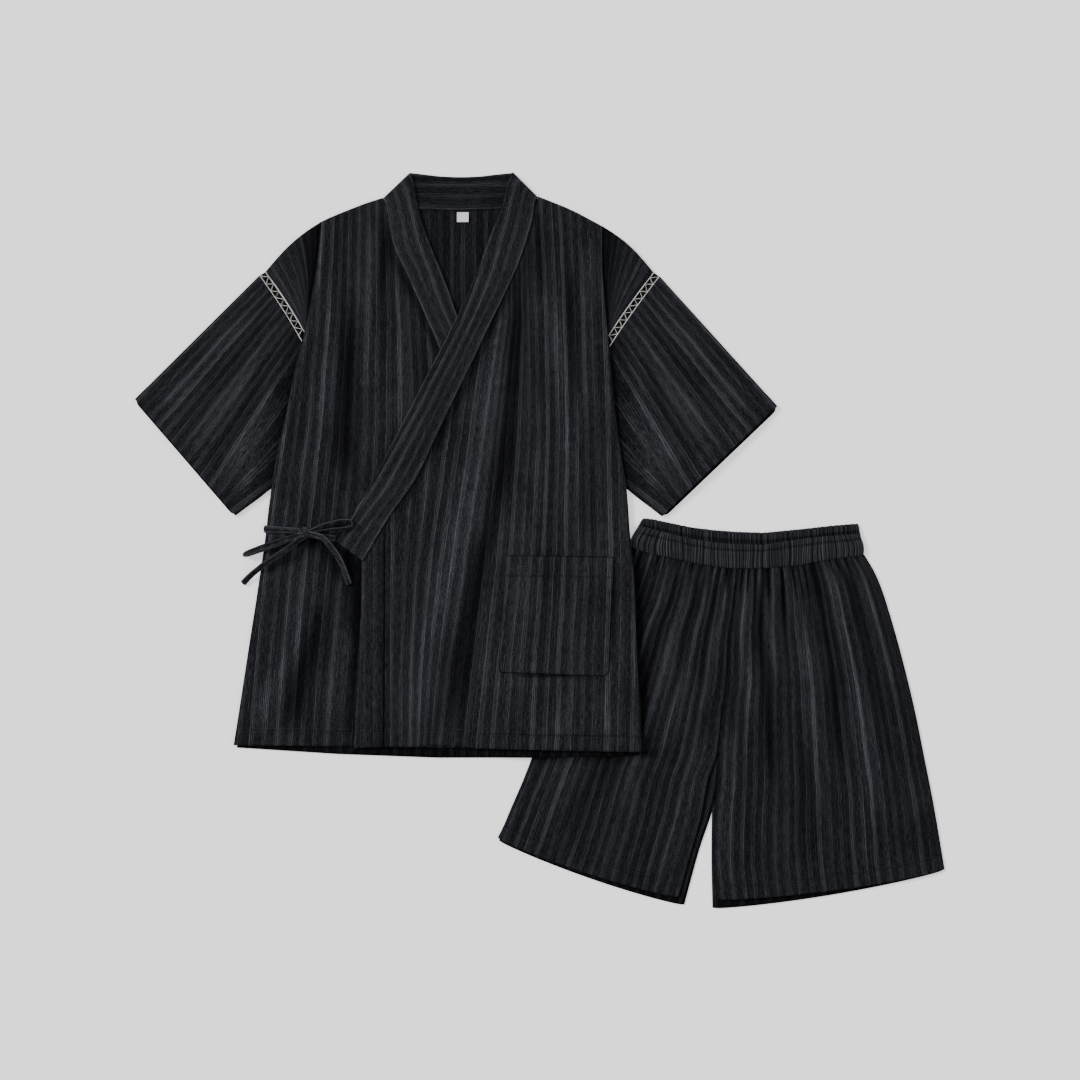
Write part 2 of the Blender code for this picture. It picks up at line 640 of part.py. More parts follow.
def leg_point(row, side, across, down, inset):
    """A point of a leg; the top line follows the band's lower edge."""
    x = mix(row.in_x + side * SEAM, row.out_x - side * inset, across)
    y = mix(row.in_y, row.out_y, across)
    return x, band_bottom(x) - BAND_GAP if down == 0.0 else y


def make_leg_front(name, rows, folds, side):
    """Front of one leg, gathered at the band, turned down at its outer edge to the side seam."""
    columns = 14
    grid = []
    for number, row in enumerate(rows):
        down = number / (len(rows) - 1)
        line = []
        for column in range(columns + 1):
            across = column / columns
            x, y = leg_point(row, side, across, down, 0.0)
            line.append((x, y, LEG_Z + leg_ridge(across, down, folds)))
        edge_x, edge_y, _ = line[-1]
        for reach, fall in ((1.1, 0.4), (1.3, 1.4)):
            line.append((edge_x + side * reach, edge_y, LEG_Z - fall))
        grid.append(line)
    return add_wall(name, grid, cloth_material(name, CHARCOAL_LIGHT))


def leg_ridge(across, down, folds):
    """Height of the gathers' folds on a leg, highest a little below the band."""
    height = 0.0
    for fold in folds:
        centre = mix(fold.at_band, fold.at_hem, down)
        fade = smooth(down / 0.10) * (1.0 - smooth((down - fold.reach + 0.25) / 0.25))
        height = max(height, fold.height * fade * math.exp(-((across - centre) / fold.width) ** 2))
    return height


def make_leg_back(name, rows, side):
    grid = []
    for number, row in enumerate(rows):
        down = number / (len(rows) - 1)
        line = []
        for column in range(7):
            x, y = leg_point(row, side, column / 6, down, 0.6)
            line.append((x, y, BACK_Z))
        grid.append(line)
    return add_wall(name, grid, cloth_material(name, CHARCOAL_LIGHT))


def band_at(t):
    """Values of the waistband's table at t, 0 at the right side and 1 at the left."""
    return BandRow(*polyline_at(BAND_ROWS, t))


def make_waistband():
    """A gathered ring pressed flat, its back edge standing a little above its front edge."""
    front_steps = BAND_SCALLOPS * 4
    back_steps = 18
    turns = (60, 120)
    sides = []
    for step in range(front_steps + 1):
        t = step / front_steps
        wave = SCALLOP_HEIGHT * math.sin(math.pi * 2 * BAND_SCALLOPS * t)
        row = band_at(t)
        sides.append((row.x, row.bottom_y, row.top_y, BAND_FRONT_Z + wave))
    middle = (BAND_FRONT_Z + BAND_BACK_Z) / 2
    radius = (BAND_FRONT_Z - BAND_BACK_Z) / 2
    for turn in turns:
        row = BAND_ROWS[-1]
        angle = math.radians(turn)
        top = mix(row.top_y, row.back_top_y, turn / 180)
        sides.append((row.x + radius * math.sin(angle), row.bottom_y, top, middle + radius * math.cos(angle)))
    for step in range(back_steps + 1):
        row = band_at(1.0 - step / back_steps)
        sides.append((row.x, row.bottom_y + 1.0, row.back_top_y, BAND_BACK_Z))
    for turn in turns:
        row = BAND_ROWS[0]
        angle = math.radians(turn)
        top = mix(row.back_top_y, row.top_y, turn / 180)
        sides.append((row.x - radius * math.sin(angle), row.bottom_y, top, middle - radius * math.cos(angle)))
    grid = []
    for share in (1.0, 0.5, 0.0):
        line = []
        for x, bottom, top, z in sides:
            line.append((x, mix(bottom + SEAM + 1.0, top, share), z))
        grid.append(line)
    return add_wall("waistband", grid, cloth_material("waistband", CHARCOAL_LIGHT), ring=True)


def height_on(grid, x, y):
    """Greatest height of the triangles of a grid over a point."""
    height = 0.0
    for upper, lower in zip(grid, grid[1:]):
        for column in range(len(upper) - 1):
            quad = (upper[column], lower[column], lower[column + 1], upper[column + 1])
            for corners in ((0, 1, 2), (0, 2, 3), (0, 1, 3), (1, 2, 3)):
                height = max(height, triangle_height([quad[corner] for corner in corners], x, y))
    return height


def triangle_height(corners, x, y):
    """Height of a triangle over a point, or 0 outside it."""
    (x0, y0, z0), (x1, y1, z1), (x2, y2, z2) = corners
    area = (x1 - x0) * (y2 - y0) - (x2 - x0) * (y1 - y0)
    if abs(area) < 1e-9:
        return 0.0
    a = ((x1 - x) * (y2 - y) - (x2 - x) * (y1 - y)) / area
    b = ((x2 - x) * (y0 - y) - (x0 - x) * (y2 - y)) / area
    if a < 0.0 or b < 0.0 or a + b > 1.0:
        return 0.0
    return a * z0 + b * z1 + (1.0 - a - b) * z2


def make_pocket():
    """A patch pocket made from the points of the front under it, one layer higher."""
    front = front_grid(FRONT_LEFT_ROWS, FRONT_LEFT_Z, FOLDS_LEFT, 1, FRONT_LEFT_COLUMNS)
    columns = 8
    grid = []
    for row in POCKET_ROWS:
        line = []
        for column in range(columns + 1):
            x = mix(row.left_x, row.right_x, column / columns)
            y = mix(row.left_y, row.right_y, column / columns)
            line.append((x, y, height_on(front, x, y) + LAYER + 0.2))
        grid.append(line)
    return add_wall("pocket", grid, cloth_material("pocket", CHARCOAL))


def make_label():
    width, height, thick = LABEL_SIZE
    x, y, z = LABEL_CENTRE
    rows = [[(x - width / 2, y + height / 2, z), (x + width / 2, y + height / 2, z)],
            [(x - width / 2, y - height / 2, z), (x + width / 2, y - height / 2, z)]]
    return add_wall("size_label", rows, cloth_material("size_label", LABEL_WHITE, 0.7), wall=thick)


def make_tie(name, points):
    """A flat tape along its points, turned about its middle line by each point's tilt."""
    grid = []
    for index, point in enumerate(points):
        before = points[max(0, index - 1)]
        after = points[min(len(points) - 1, index + 1)]
        along = Vector((after.x - before.x, after.y - before.y, 0.0)).normalized()
        tilt = math.radians(point.tilt)
        width = Vector((-along.y * math.cos(tilt), along.x * math.cos(tilt), math.sin(tilt)))
        half = TIE_WIDTH / 2 * mix(1.0, 0.55, smooth((point.tilt - 40) / 30))
        centre = Vector((point.x, point.y, point.z))
        grid.append([centre - width * half, centre, centre + width * half])
    return add_wall(name, grid, cloth_material(name, CHARCOAL_LIGHT), wall=TIE_THICK)


def make_knot():
    """The bow's knot, a small rounded wrap."""
    shape = bmesh.new()
    bmesh.ops.create_uvsphere(shape, u_segments=12, v_segments=8, radius=0.5)
    for vert in shape.verts:
        vert.co.x *= KNOT_SIZE[0]
        vert.co.y *= KNOT_SIZE[1]
        vert.co.z *= KNOT_SIZE[2]
        vert.co = (vert.co + Vector(KNOT_CENTRE)) * MM
    mesh = bpy.data.meshes.new("tie_knot")
    shape.to_mesh(mesh)
    shape.free()
    mesh.shade_smooth()
    knot = bpy.data.objects.new("tie_knot", mesh)
    bpy.context.collection.objects.link(knot)
    knot.data.materials.append(cloth_material("tie_knot", CHARCOAL_LIGHT))
    return knot


remove_all_objects()
make_back()
make_front_right()
make_front_left()
make_okumi("okumi_right", OKUMI_RIGHT_ROWS, FRONT_RIGHT_Z)
make_okumi("okumi_left", OKUMI_LEFT_ROWS, FRONT_LEFT_Z)
make_collar()
make_sleeve("sleeve_right", SLEEVE_RIGHT, SLEEVE_FOLDS_RIGHT)
make_sleeve("sleeve_left", SLEEVE_LEFT, SLEEVE_FOLDS_LEFT)
make_lace("lace_right", LACE_RIGHT)
make_lace("lace_left", LACE_LEFT)
make_pocket()
make_label()
make_leg_front("leg_right_front", LEG_RIGHT_ROWS, LEG_RIGHT_FOLDS, -1)
make_leg_front("leg_left_front", LEG_LEFT_ROWS, LEG_LEFT_FOLDS, 1)
make_leg_back("leg_right_back", LEG_BACK_RIGHT_ROWS, -1)
make_leg_back("leg_left_back", LEG_BACK_LEFT_ROWS, 1)
make_waistband()
for tie_name, tie_points in TIES.items():
    make_tie(tie_name, tie_points)
make_knot()
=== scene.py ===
"""Jinbei set laid flat: a wrapped cotton jacket with lace at the shoulders, lying over its gathered shorts.

Tables are in millimetres in the part's own frame: X to the right, Y towards the collar, Z up.
Right and left are the wearer's.
"""

import math
from collections import namedtuple

import bpy
import numpy as np
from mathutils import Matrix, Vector, noise


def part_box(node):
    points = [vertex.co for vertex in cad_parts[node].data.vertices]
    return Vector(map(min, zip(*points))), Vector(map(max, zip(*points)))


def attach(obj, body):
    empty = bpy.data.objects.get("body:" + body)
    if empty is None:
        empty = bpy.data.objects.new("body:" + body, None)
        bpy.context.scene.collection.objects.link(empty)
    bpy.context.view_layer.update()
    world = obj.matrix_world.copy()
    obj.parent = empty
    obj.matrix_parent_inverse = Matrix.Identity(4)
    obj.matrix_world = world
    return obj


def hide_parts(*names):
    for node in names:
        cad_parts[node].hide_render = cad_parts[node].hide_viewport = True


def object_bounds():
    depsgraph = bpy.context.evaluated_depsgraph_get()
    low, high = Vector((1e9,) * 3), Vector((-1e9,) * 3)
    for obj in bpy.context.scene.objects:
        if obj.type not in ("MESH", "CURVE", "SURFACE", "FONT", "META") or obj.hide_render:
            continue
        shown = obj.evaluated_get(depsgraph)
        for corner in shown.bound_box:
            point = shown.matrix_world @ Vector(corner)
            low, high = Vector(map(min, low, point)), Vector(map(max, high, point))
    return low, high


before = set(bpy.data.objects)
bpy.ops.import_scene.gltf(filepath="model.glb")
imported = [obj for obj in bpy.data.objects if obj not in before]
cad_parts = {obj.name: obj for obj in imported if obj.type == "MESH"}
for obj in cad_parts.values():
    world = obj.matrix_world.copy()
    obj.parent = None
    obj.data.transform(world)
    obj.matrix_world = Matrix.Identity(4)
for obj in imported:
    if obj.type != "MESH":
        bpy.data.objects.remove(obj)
cad_box = [list(corner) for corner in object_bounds()]

# Camera: a long lens straight above the middle of the set, so that nothing is seen from the side.
CAMERA_HEIGHT = 3.485
middle = [(low + high) / 2 for low, high in zip(*cad_box)]
lens = bpy.data.cameras.new("camera")
lens.lens = 85.0
lens.sensor_width = 36.0
lens.clip_end = 20.0
camera = bpy.data.objects.new("camera", lens)
camera.location = (middle[0], middle[1], CAMERA_HEIGHT)
bpy.context.collection.objects.link(camera)
bpy.context.scene.camera = camera

# Studio: a soft light low on the left that brings out the creases, a weak broad one from the right, and an
# even pale room.
StudioLight = namedtuple("StudioLight", "name place spread power")
STUDIO_LIGHTS = (
    StudioLight("key_light", (-2.1, 1.05, 1.45), 16.0, 3.30),
    StudioLight("right_light", (1.6, -0.5, 2.6), 50.0, 0.48),
)
for light in STUDIO_LIGHTS:
    lamp = bpy.data.lights.new(light.name, "SUN")
    lamp.angle = math.radians(light.spread)
    lamp.energy = light.power
    holder = bpy.data.objects.new(light.name, lamp)
    holder.location = light.place
    holder.rotation_euler = (-Vector(light.place)).to_track_quat("-Z", "Y").to_euler()
    bpy.context.collection.objects.link(holder)

world = bpy.data.worlds.new("pale_room")
world.use_nodes = True
room_light = world.node_tree.nodes["Background"].inputs
room_light["Color"].default_value = (0.99, 0.995, 1.0, 1.0)
room_light["Strength"].default_value = 0.582
bpy.context.scene.world = world

# Floor: a plain pale surface just under the set, faintly lit from within so that it stays even.
FLOOR_Z = -0.0004
bpy.ops.object.select_all(action="DESELECT")
bpy.ops.mesh.primitive_plane_add(size=14.0, location=(0.0, 0.0, FLOOR_Z))
floor = bpy.context.object
floor.name = "floor"
floor_paint = bpy.data.materials.new("floor_paint")
floor_paint.use_nodes = True
floor_shader = floor_paint.node_tree.nodes["Principled BSDF"]
floor_shader.inputs["Base Color"].default_value = (0.92, 0.92, 0.92, 1.0)
floor_shader.inputs["Emission Color"].default_value = (1.0, 1.0, 1.0, 1.0)
floor_shader.inputs["Emission Strength"].default_value = 0.58
floor_shader.inputs["Roughness"].default_value = 0.95
floor_shader.inputs["Specular IOR Level"].default_value = 0.1
floor.data.materials.append(floor_paint)


# Cloth: matte slubby cotton, charcoal with lighter lengthwise stripes made of a few fine lines each.
# It is woven, so its map is in metres of cloth: across the stripes, then along them.
def add_node(tree, kind, inputs, **settings):
    """A node with its sockets set from values or from other nodes' outputs."""
    made = tree.nodes.new(kind)
    for key, value in settings.items():
        setattr(made, key, value)
    for socket, value in inputs.items():
        if isinstance(value, bpy.types.NodeSocket):
            tree.links.new(value, made.inputs[socket])
        else:
            made.inputs[socket].default_value = value
    return made


def calculate(tree, operation, first, second=0.0):
    return add_node(tree, "ShaderNodeMath", {0: first, 1: second}, operation=operation).outputs[0]


def remap(tree, value, from_low, from_high, to_low, to_high):
    """A value carried from one range to another with soft ends."""
    sockets = {"Value": value, "From Min": from_low, "From Max": from_high, "To Min": to_low, "To Max": to_high}
    return add_node(tree, "ShaderNodeMapRange", sockets, interpolation_type="SMOOTHSTEP").outputs[0]


def mix_colours(tree, share, first, second):
    mixed = add_node(tree, "ShaderNodeMix", {0: share, 6: first, 7: second}, data_type="RGBA")
    return mixed.outputs[2]


def stretched_noise(tree, across, along, scale_across, scale_along, detail=2.0):
    """Noise drawn out along the threads, from 0 to 1."""
    scaled = (calculate(tree, "MULTIPLY", across, scale_across), calculate(tree, "MULTIPLY", along, scale_along))
    place = add_node(tree, "ShaderNodeCombineXYZ", dict(enumerate(scaled)))
    sockets = {"Vector": place.outputs[0], "Scale": 1.0, "Detail": detail, "Roughness": 0.6}
    return add_node(tree, "ShaderNodeTexNoise", sockets, noise_dimensions="2D").outputs[0]


def from_middle(tree, count):
    """How far a running count is from the middle of its present step, from 0 to 0.5."""
    return calculate(tree, "ABSOLUTE", calculate(tree, "SUBTRACT", calculate(tree, "FRACT", count), 0.5))


def random_number(tree, count):
    """A number from 0 to 1 that stays the same through each step of a running count."""
    whole = calculate(tree, "FLOOR", count)
    return add_node(tree, "ShaderNodeTexWhiteNoise", {"W": whole}, noise_dimensions="1D").outputs[0]


STRIPE_PITCH = 0.0154
LINES_A_STRIPE = 7.0
THREAD_PITCH = 0.00085
GROUND_TONE = 0.985    # how much of the summed pattern is still plain ground


def make_weave_group():
    """Group that turns the cloth's map into its colour, roughness and relief, and scales the colour by the
    painted light and shade it is given.
    """
    group = bpy.data.node_groups.new("woven_stripe", "ShaderNodeTree")
    for side, sockets in (
            ("INPUT", (("Map", "Vector"), ("Ground", "Color"), ("Stripe", "Color"), ("Painted Shading", "Float"))),
            ("OUTPUT", (("Color", "Color"), ("Roughness", "Float"), ("Height", "Float")))):
        for name, kind in sockets:
            group.interface.new_socket(name, in_out=side, socket_type="NodeSocket" + kind)
    given = group.nodes.new("NodeGroupInput").outputs
    split = add_node(group, "ShaderNodeSeparateXYZ", {0: given["Map"]})
    across, along = split.outputs[0], split.outputs[1]

    def plus(first, second):
        return calculate(group, "ADD", first, second)

    def times(first, second):
        return calculate(group, "MULTIPLY", first, second)

    # Main stripes and the fine lines they are made of: each keeps its own strength along its whole length
    count = times(across, 1.0 / STRIPE_PITCH)
    for value, share in ((stretched_noise(group, across, along, 30.0, 7.0), 0.20),
                         (stretched_noise(group, across, along, 200.0, 50.0), 0.07)):
        count = plus(count, times(value, share))
    stripe = remap(group, from_middle(group, count), 0.27, 0.17, 0.0, 1.0)
    stripe = times(stripe, remap(group, random_number(group, count), 0.0, 1.0, 0.50, 1.0))
    line_count = times(count, LINES_A_STRIPE)
    line = remap(group, from_middle(group, line_count), 0.38, 0.10, 0.0, 1.0)
    line = times(line, remap(group, random_number(group, line_count), 0.1, 0.9, 0.22, 1.0))
    broken = stretched_noise(group, across, along, 240.0, 16.0)
    line = times(line, remap(group, broken, 0.30, 0.66, 0.40, 1.12))

    # Slubs, cross threads and slow changes of tone
    slubs = stretched_noise(group, across, along, 800.0, 90.0)
    threads = stretched_noise(group, across, along, 430.0, 760.0)
    tone = stretched_noise(group, across, along, 22.0, 9.0)
    light = times(line, plus(times(stripe, 0.50), 0.28))
    for value, share in ((stripe, 0.18), (slubs, 0.84), (threads, 0.92), (tone, 0.32)):
        light = plus(light, times(value, share))
    light = calculate(group, "MAXIMUM", calculate(group, "SUBTRACT", light, GROUND_TONE), 0.0)
    mixed = mix_colours(group, light, given["Ground"], given["Stripe"])
    # Painted light and shade: darker in creases, hollows and under other pieces, lighter on ridges and edges
    shading_paint = remap(group, given["Painted Shading"], -1.0, 1.0, 0.20, 1.82)
    shaded = add_node(group, "ShaderNodeVectorMath", {0: mixed, "Scale": shading_paint}, operation="SCALE")

    # Relief of the threads, the stripes and the slubs
    turn = math.tau / THREAD_PITCH
    warp = calculate(group, "SINE", times(across, turn))
    weft = calculate(group, "SINE", times(along, turn))
    relief = times(times(warp, weft), 0.16)
    for value, share in ((slubs, 0.50), (line, 0.45), (threads, 0.22)):
        relief = plus(relief, times(value, share))

    result = group.nodes.new("NodeGroupOutput").inputs
    group.links.new(shaded.outputs[0], result["Color"])
    group.links.new(remap(group, slubs, 0.2, 0.8, 0.94, 0.80), result["Roughness"])
    group.links.new(relief, result["Height"])
    return group


WEAVE = make_weave_group()
CHARCOAL = (0.0054, 0.0058, 0.0074, 1.0)
CHARCOAL_STRIPE = (0.0520, 0.0535, 0.0600, 1.0)


def new_material(name, roughness, specular, sheen=0.0, sheen_roughness=0.5):
    """A material with its uniform values set; returns its nodes and its shader's sockets too."""
    material = bpy.data.materials.new(name)
    material.use_nodes = True
    sockets = material.node_tree.nodes["Principled BSDF"].inputs
    for key, value in (("Roughness", roughness), ("Specular IOR Level", specular), ("Sheen Weight", sheen),
                       ("Sheen Roughness", sheen_roughness)):
        sockets[key].default_value = value
    return material, material.node_tree, sockets


def cotton(name, shift=0.0):
    """The set's striped cotton, with the stripes moved across by a shift in metres."""
    material, tree, shader = new_material(name, 0.5, 0.025, 0.01, 0.45)
    cloth_map = add_node(tree, "ShaderNodeUVMap", {}, uv_map="cloth").outputs[0]
    place = add_node(tree, "ShaderNodeMapping", {"Vector": cloth_map, "Location": (shift, shift * 3.0, 0.0)})
    # Painted light and shade of each point, read from its attribute
    painted_shading = add_node(tree, "ShaderNodeAttribute", {}, attribute_name="painted_shading")
    weave = add_node(tree, "ShaderNodeGroup", {}, node_tree=WEAVE)
    tree.links.new(place.outputs[0], weave.inputs["Map"])
    tree.links.new(painted_shading.outputs["Fac"], weave.inputs["Painted Shading"])
    weave.inputs["Ground"].default_value = CHARCOAL
    weave.inputs["Stripe"].default_value = CHARCOAL_STRIPE
    height = {"Strength": 0.45, "Distance": 0.0006, "Height": weave.outputs["Height"]}
    tree.links.new(weave.outputs["Color"], shader["Base Color"])
    tree.links.new(weave.outputs["Roughness"], shader["Roughness"])
    tree.links.new(add_node(tree, "ShaderNodeBump", height).outputs[0], shader["Normal"])
    return material


# Ties: two flat sewn tapes of the same cotton, one from the collar's lower end and one from the side seam.
# They meet in a bow: each goes through the knot, out into a loop, back, and out again as a free tail.
MM = 0.001
TIE_WIDTH = 8.6
TIE_THICK = 1.9
TiePoint = namedtuple("TiePoint", "x y z tilt")
TIE_COLLAR = [TiePoint(*row) for row in (
    (-277.5, 2.0, 6.9, 0), (-290, 4, 7.6, 0), (-302, 6, 7.8, 0), (-315, 8, 7.9, 5),
    (-322, 9.6, 9.0, 20), (-325, 12.0, 10.6, 45), (-320.5, 12.6, 12.0, 65),
    (-311.8, 10.2, 12.4, 70), (-300, 12.2, 12.6, 70), (-284, 14.8, 13.0, 70),
    (-266, 16.8, 13.0, 75), (-257, 18.6, 13.0, 85), (-254.4, 23.6, 13.0, 90),
    (-259, 28.2, 13.0, 85), (-268, 28.4, 13.0, 75), (-284, 25.6, 12.8, 70),
    (-300, 20.4, 12.4, 70), (-312.4, 14.6, 12.6, 70), (-321, 13.2, 13.6, 60),
    (-325.4, 11.4, 14.0, 40), (-322, 9.6, 14.6, 15), (-314.6, 8.4, 14.8, 5),
    (-304, 6.2, 15.8, 5), (-294, 1.8, 16.0, 10), (-286, -7.6, 14.6, 15),
    (-279, -17, 12.4, 15), (-272.6, -28, 10.4, 12), (-266, -44, 8.0, 10),
    (-260.6, -61, 5.6, 5),
)]
TIE_SIDE = [TiePoint(*row) for row in (
    (-377.5, 15.0, 7.4, 15), (-370, 14.6, 7.9, 8), (-360, 14, 7.9, 4),
    (-345, 13, 7.8, 0), (-328.6, 12, 7.8, 0), (-319, 11, 8.8, 15),
    (-315.6, 8.2, 10.4, 45), (-320.6, 6.6, 11.4, 40), (-329.8, 4.6, 11.4, 30),
    (-342, 0.6, 11.0, 22), (-360, -5.8, 10.0, 20), (-381, -12.8, 7.6, 20),
    (-397, -18.4, 4.6, 28), (-405.4, -21.2, 3.8, 60), (-407.8, -21.8, 4.8, 90),
    (-405.6, -20.4, 6.2, 120), (-397, -17.0, 7.6, 152), (-381, -11.0, 10.6, 160),
    (-360, -3.6, 13.0, 160), (-342, 2.4, 14.0, 158), (-329.4, 6.0, 14.2, 150),
    (-319.6, 7.4, 13.8, 140), (-316.4, 7.6, 14.0, 150), (-319.6, 5.6, 14.4, 162),
    (-326.4, 2.0, 15.2, 170), (-336, -6.4, 15.8, 170), (-348, -15, 16.4, 170),
    (-360, -23.4, 16.2, 170), (-373, -31.4, 14.2, 160), (-384, -39.6, 10.6, 152),
    (-395, -48.4, 6.2, 156), (-406.4, -60.2, 3.0, 170),
)]


def running_length(line):
    """Length along a line from its first point to each of its points."""
    return np.concatenate(([0.0], np.cumsum(np.linalg.norm(np.diff(line, axis=0), axis=1))))


def even_curve(table, count, place):
    """Rows at even distances along a smooth curve through a table's rows, which never swings past them."""
    values = np.array(table, float)
    stations = running_length(values[:, place])
    gaps = np.diff(stations)
    rise = np.diff(values, axis=0) / gaps[:, None]
    slopes = np.zeros_like(values)
    slopes[0], slopes[-1] = rise[0], rise[-1]
    before, after = rise[:-1], rise[1:]
    weight_before = (2 * gaps[1:] + gaps[:-1])[:, None]
    weight_after = (gaps[1:] + 2 * gaps[:-1])[:, None]
    same = before * after > 1e-12
    safe_before, safe_after = np.where(same, before, 1.0), np.where(same, after, 1.0)
    harmonic = (weight_before + weight_after) / (weight_before / safe_before + weight_after / safe_after)
    slopes[1:-1] = np.where(same, harmonic, 0.0)
    reach = np.linspace(0.0, stations[-1], count)
    index = np.clip(np.searchsorted(stations, reach, side="right") - 1, 0, len(stations) - 2)
    span = gaps[index][:, None]
    t = (reach - stations[index])[:, None] / span
    return ((1 + 2 * t) * (1 - t) ** 2 * values[index] + t * (1 - t) ** 2 * span * slopes[index]
            + t * t * (3 - 2 * t) * values[index + 1] + t * t * (t - 1) * span * slopes[index + 1])


def bell(distance, width):
    """1 at no distance, falling smoothly to almost nothing at twice the width."""
    return np.exp(-(distance / width) ** 2)


def new_piece(name, points, faces, material):
    """A smooth-shaded object from points in millimetres."""
    mesh = bpy.data.meshes.new(name)
    mesh.from_pydata((np.asarray(points) * MM).tolist(), [], faces)
    mesh.materials.append(material)
    mesh.shade_smooth()
    piece = bpy.data.objects.new(name, mesh)
    bpy.context.collection.objects.link(piece)
    return piece


def map_cloth(piece, corner_map, painted_shading):
    """Gives a piece the place of each corner on the cloth, in millimetres, and the painted light and shade of
    each point.
    """
    layer = piece.data.uv_layers.new(name="cloth")
    layer.data.foreach_set("uv", (np.asarray(corner_map, float) * MM).ravel())
    shading_paint = piece.data.attributes.new("painted_shading", "FLOAT", "POINT")
    shading_paint.data.foreach_set("value", np.asarray(painted_shading, np.float32).ravel())


def tube_faces(rows, sides):
    """Faces round a tube whose points run round each row in turn."""
    return [(row * sides + step, row * sides + after, (row + 1) * sides + after, (row + 1) * sides + step)
            for row in range(rows - 1) for step, after in ((k, (k + 1) % sides) for k in range(sides))]


TAPE_ROWS = 150
TAPE_SIDES = 20
TAPE_END = 1.2         # how far the sewn end bulges


def make_tape(name, points, material, widened):
    """A flat oval tube along a route, turned about it by each point's tilt; returns its middle line too."""
    route = even_curve(points, TAPE_ROWS, slice(0, 3))
    middle_line = route[:, :3]
    kernel = np.ones(5) / 5
    for axis in range(3):
        padded = np.pad(middle_line[:, axis], 2, mode="edge")
        middle_line[:, axis] = np.convolve(padded, kernel, mode="valid")
    along = np.gradient(middle_line, axis=0)
    along[:, 2] *= 0.6
    along /= np.linalg.norm(along, axis=1)[:, None]
    level = np.stack([-along[:, 1], along[:, 0], np.zeros(len(along))], axis=1)
    level /= np.linalg.norm(level, axis=1)[:, None]
    tilt = np.radians(route[:, 3])[:, None]
    wide = level * np.cos(tilt) + np.array([0.0, 0.0, 1.0]) * np.sin(tilt)
    thin = np.cross(along, wide)

    # A tape on its edge is drawn a little narrower, and one sewn into a seam is wider at that end
    half = TIE_WIDTH / 2 * (1.0 - 0.25 * np.clip((np.sin(tilt) - 0.64) / 0.3, 0, 1))
    half *= 1.0 + widened * np.exp(-np.arange(len(route)) / 9.0)[:, None]
    rings, ring_painted_shading = [], []
    for step in range(TAPE_SIDES):
        turn = math.tau * step / TAPE_SIDES
        sideways = math.copysign(abs(math.cos(turn)) ** 0.7, math.cos(turn))
        upward = math.copysign(abs(math.sin(turn)) ** 0.9, math.sin(turn))
        groove = bell(sideways, 0.3)
        rings.append(middle_line + wide * half * sideways + thin * TIE_THICK / 2 * upward * (1.0 - 0.3 * groove))
        # Painted highlight along the tape's edges and painted shade in the groove down its middle
        ring_painted_shading.append(0.40 + 0.45 * bell(abs(sideways) - 0.72, 0.25) - 0.75 * groove)
    vertices = list(np.stack(rings, axis=1).reshape(-1, 3))
    girth = 2 * TIE_WIDTH / TAPE_SIDES
    length = running_length(middle_line)
    faces = tube_faces(TAPE_ROWS, TAPE_SIDES)
    corner_map = [(column * girth, length[line]) for row in range(TAPE_ROWS - 1) for step in range(TAPE_SIDES)
                  for column, line in ((step, row), (step + 1, row), (step + 1, row + 1), (step, row + 1))]
    for row, sign in ((0, -1.0), (TAPE_ROWS - 1, 1.0)):
        centre = len(vertices)
        vertices.append(middle_line[row] + along[row] * sign * TAPE_END)
        for step in range(TAPE_SIDES):
            corners = (row * TAPE_SIDES + step, row * TAPE_SIDES + (step + 1) % TAPE_SIDES, centre)
            faces.append(corners if sign > 0 else corners[::-1])
            corner_map.extend([(0.0, length[row])] * 3)
    tape = new_piece(name, vertices, faces, material)
    map_cloth(tape, corner_map, ring_painted_shading * TAPE_ROWS + [0.1, 0.1])
    return tape, middle_line


tie_cotton = cotton("tie_cotton", 0.004)
collar_tie, collar_tie_route = make_tape("collar_tie", TIE_COLLAR, tie_cotton, 0.0)
side_tie, side_tie_route = make_tape("side_tie", TIE_SIDE, tie_cotton, 0.25)

# Knot of the bow: the two tapes wrapped round each other, pulled into a small soft lump with two wraps.
knot_low, knot_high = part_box("tie_knot")
bpy.ops.object.select_all(action="DESELECT")
bpy.ops.mesh.primitive_uv_sphere_add(segments=48, ring_count=32, radius=1.0, location=(0.0, 0.0, 0.0))
knot = bpy.context.object
knot.name = "bow_knot"
knot_middle = (knot_low + knot_high) / 2
knot_half = (knot_high - knot_low) / 2
for vertex in knot.data.vertices:
    x, y, z = vertex.co
    wrap = 0.16 * abs(math.cos(math.pi * (x * 1.05 + y * 0.25))) ** 0.6 - 0.04
    crumple = 0.05 * noise.noise(Vector((x * 2.1, y * 2.1, z * 2.1)))
    swell = 1.0 + wrap + crumple
    boxed = max(abs(y), abs(z), 1e-6) ** 0.12
    vertex.co = Vector((knot_middle.x + x * knot_half.x * 1.12 * swell,
                        knot_middle.y + y * knot_half.y * 1.14 * swell * (0.86 + 0.14 * boxed),
                        knot_middle.z + z * knot_half.z * 1.04 * swell))
knot.data.uv_layers[0].name = "cloth"
for corner in knot.data.uv_layers["cloth"].data:
    corner.uv = (corner.uv[0] * 0.045, corner.uv[1] * 0.020)
# Painted light: the whole knot is painted lighter
shading_paint = knot.data.attributes.new("painted_shading", "FLOAT", "POINT")
shading_paint.data.foreach_set("value", [0.55] * len(knot.data.vertices))
knot.data.materials.append(tie_cotton)
knot.data.shade_smooth()


def declare(piece, slot, *nodes):
    """Puts a piece on the set's one body, in place of its CAD nodes; the slot is not used."""
    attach(piece, "root")
    if nodes:
        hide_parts(*nodes)


def declare_tie(tie, nodes):
    declare(tie, "cloth", *nodes)


declare(knot, "cloth", "tie_knot")
declare_tie(collar_tie, ("tie_collar", "tie_collar_loop", "tie_collar_tail"))
declare_tie(side_tie, ("tie_side", "tie_side_loop", "tie_side_tail"))

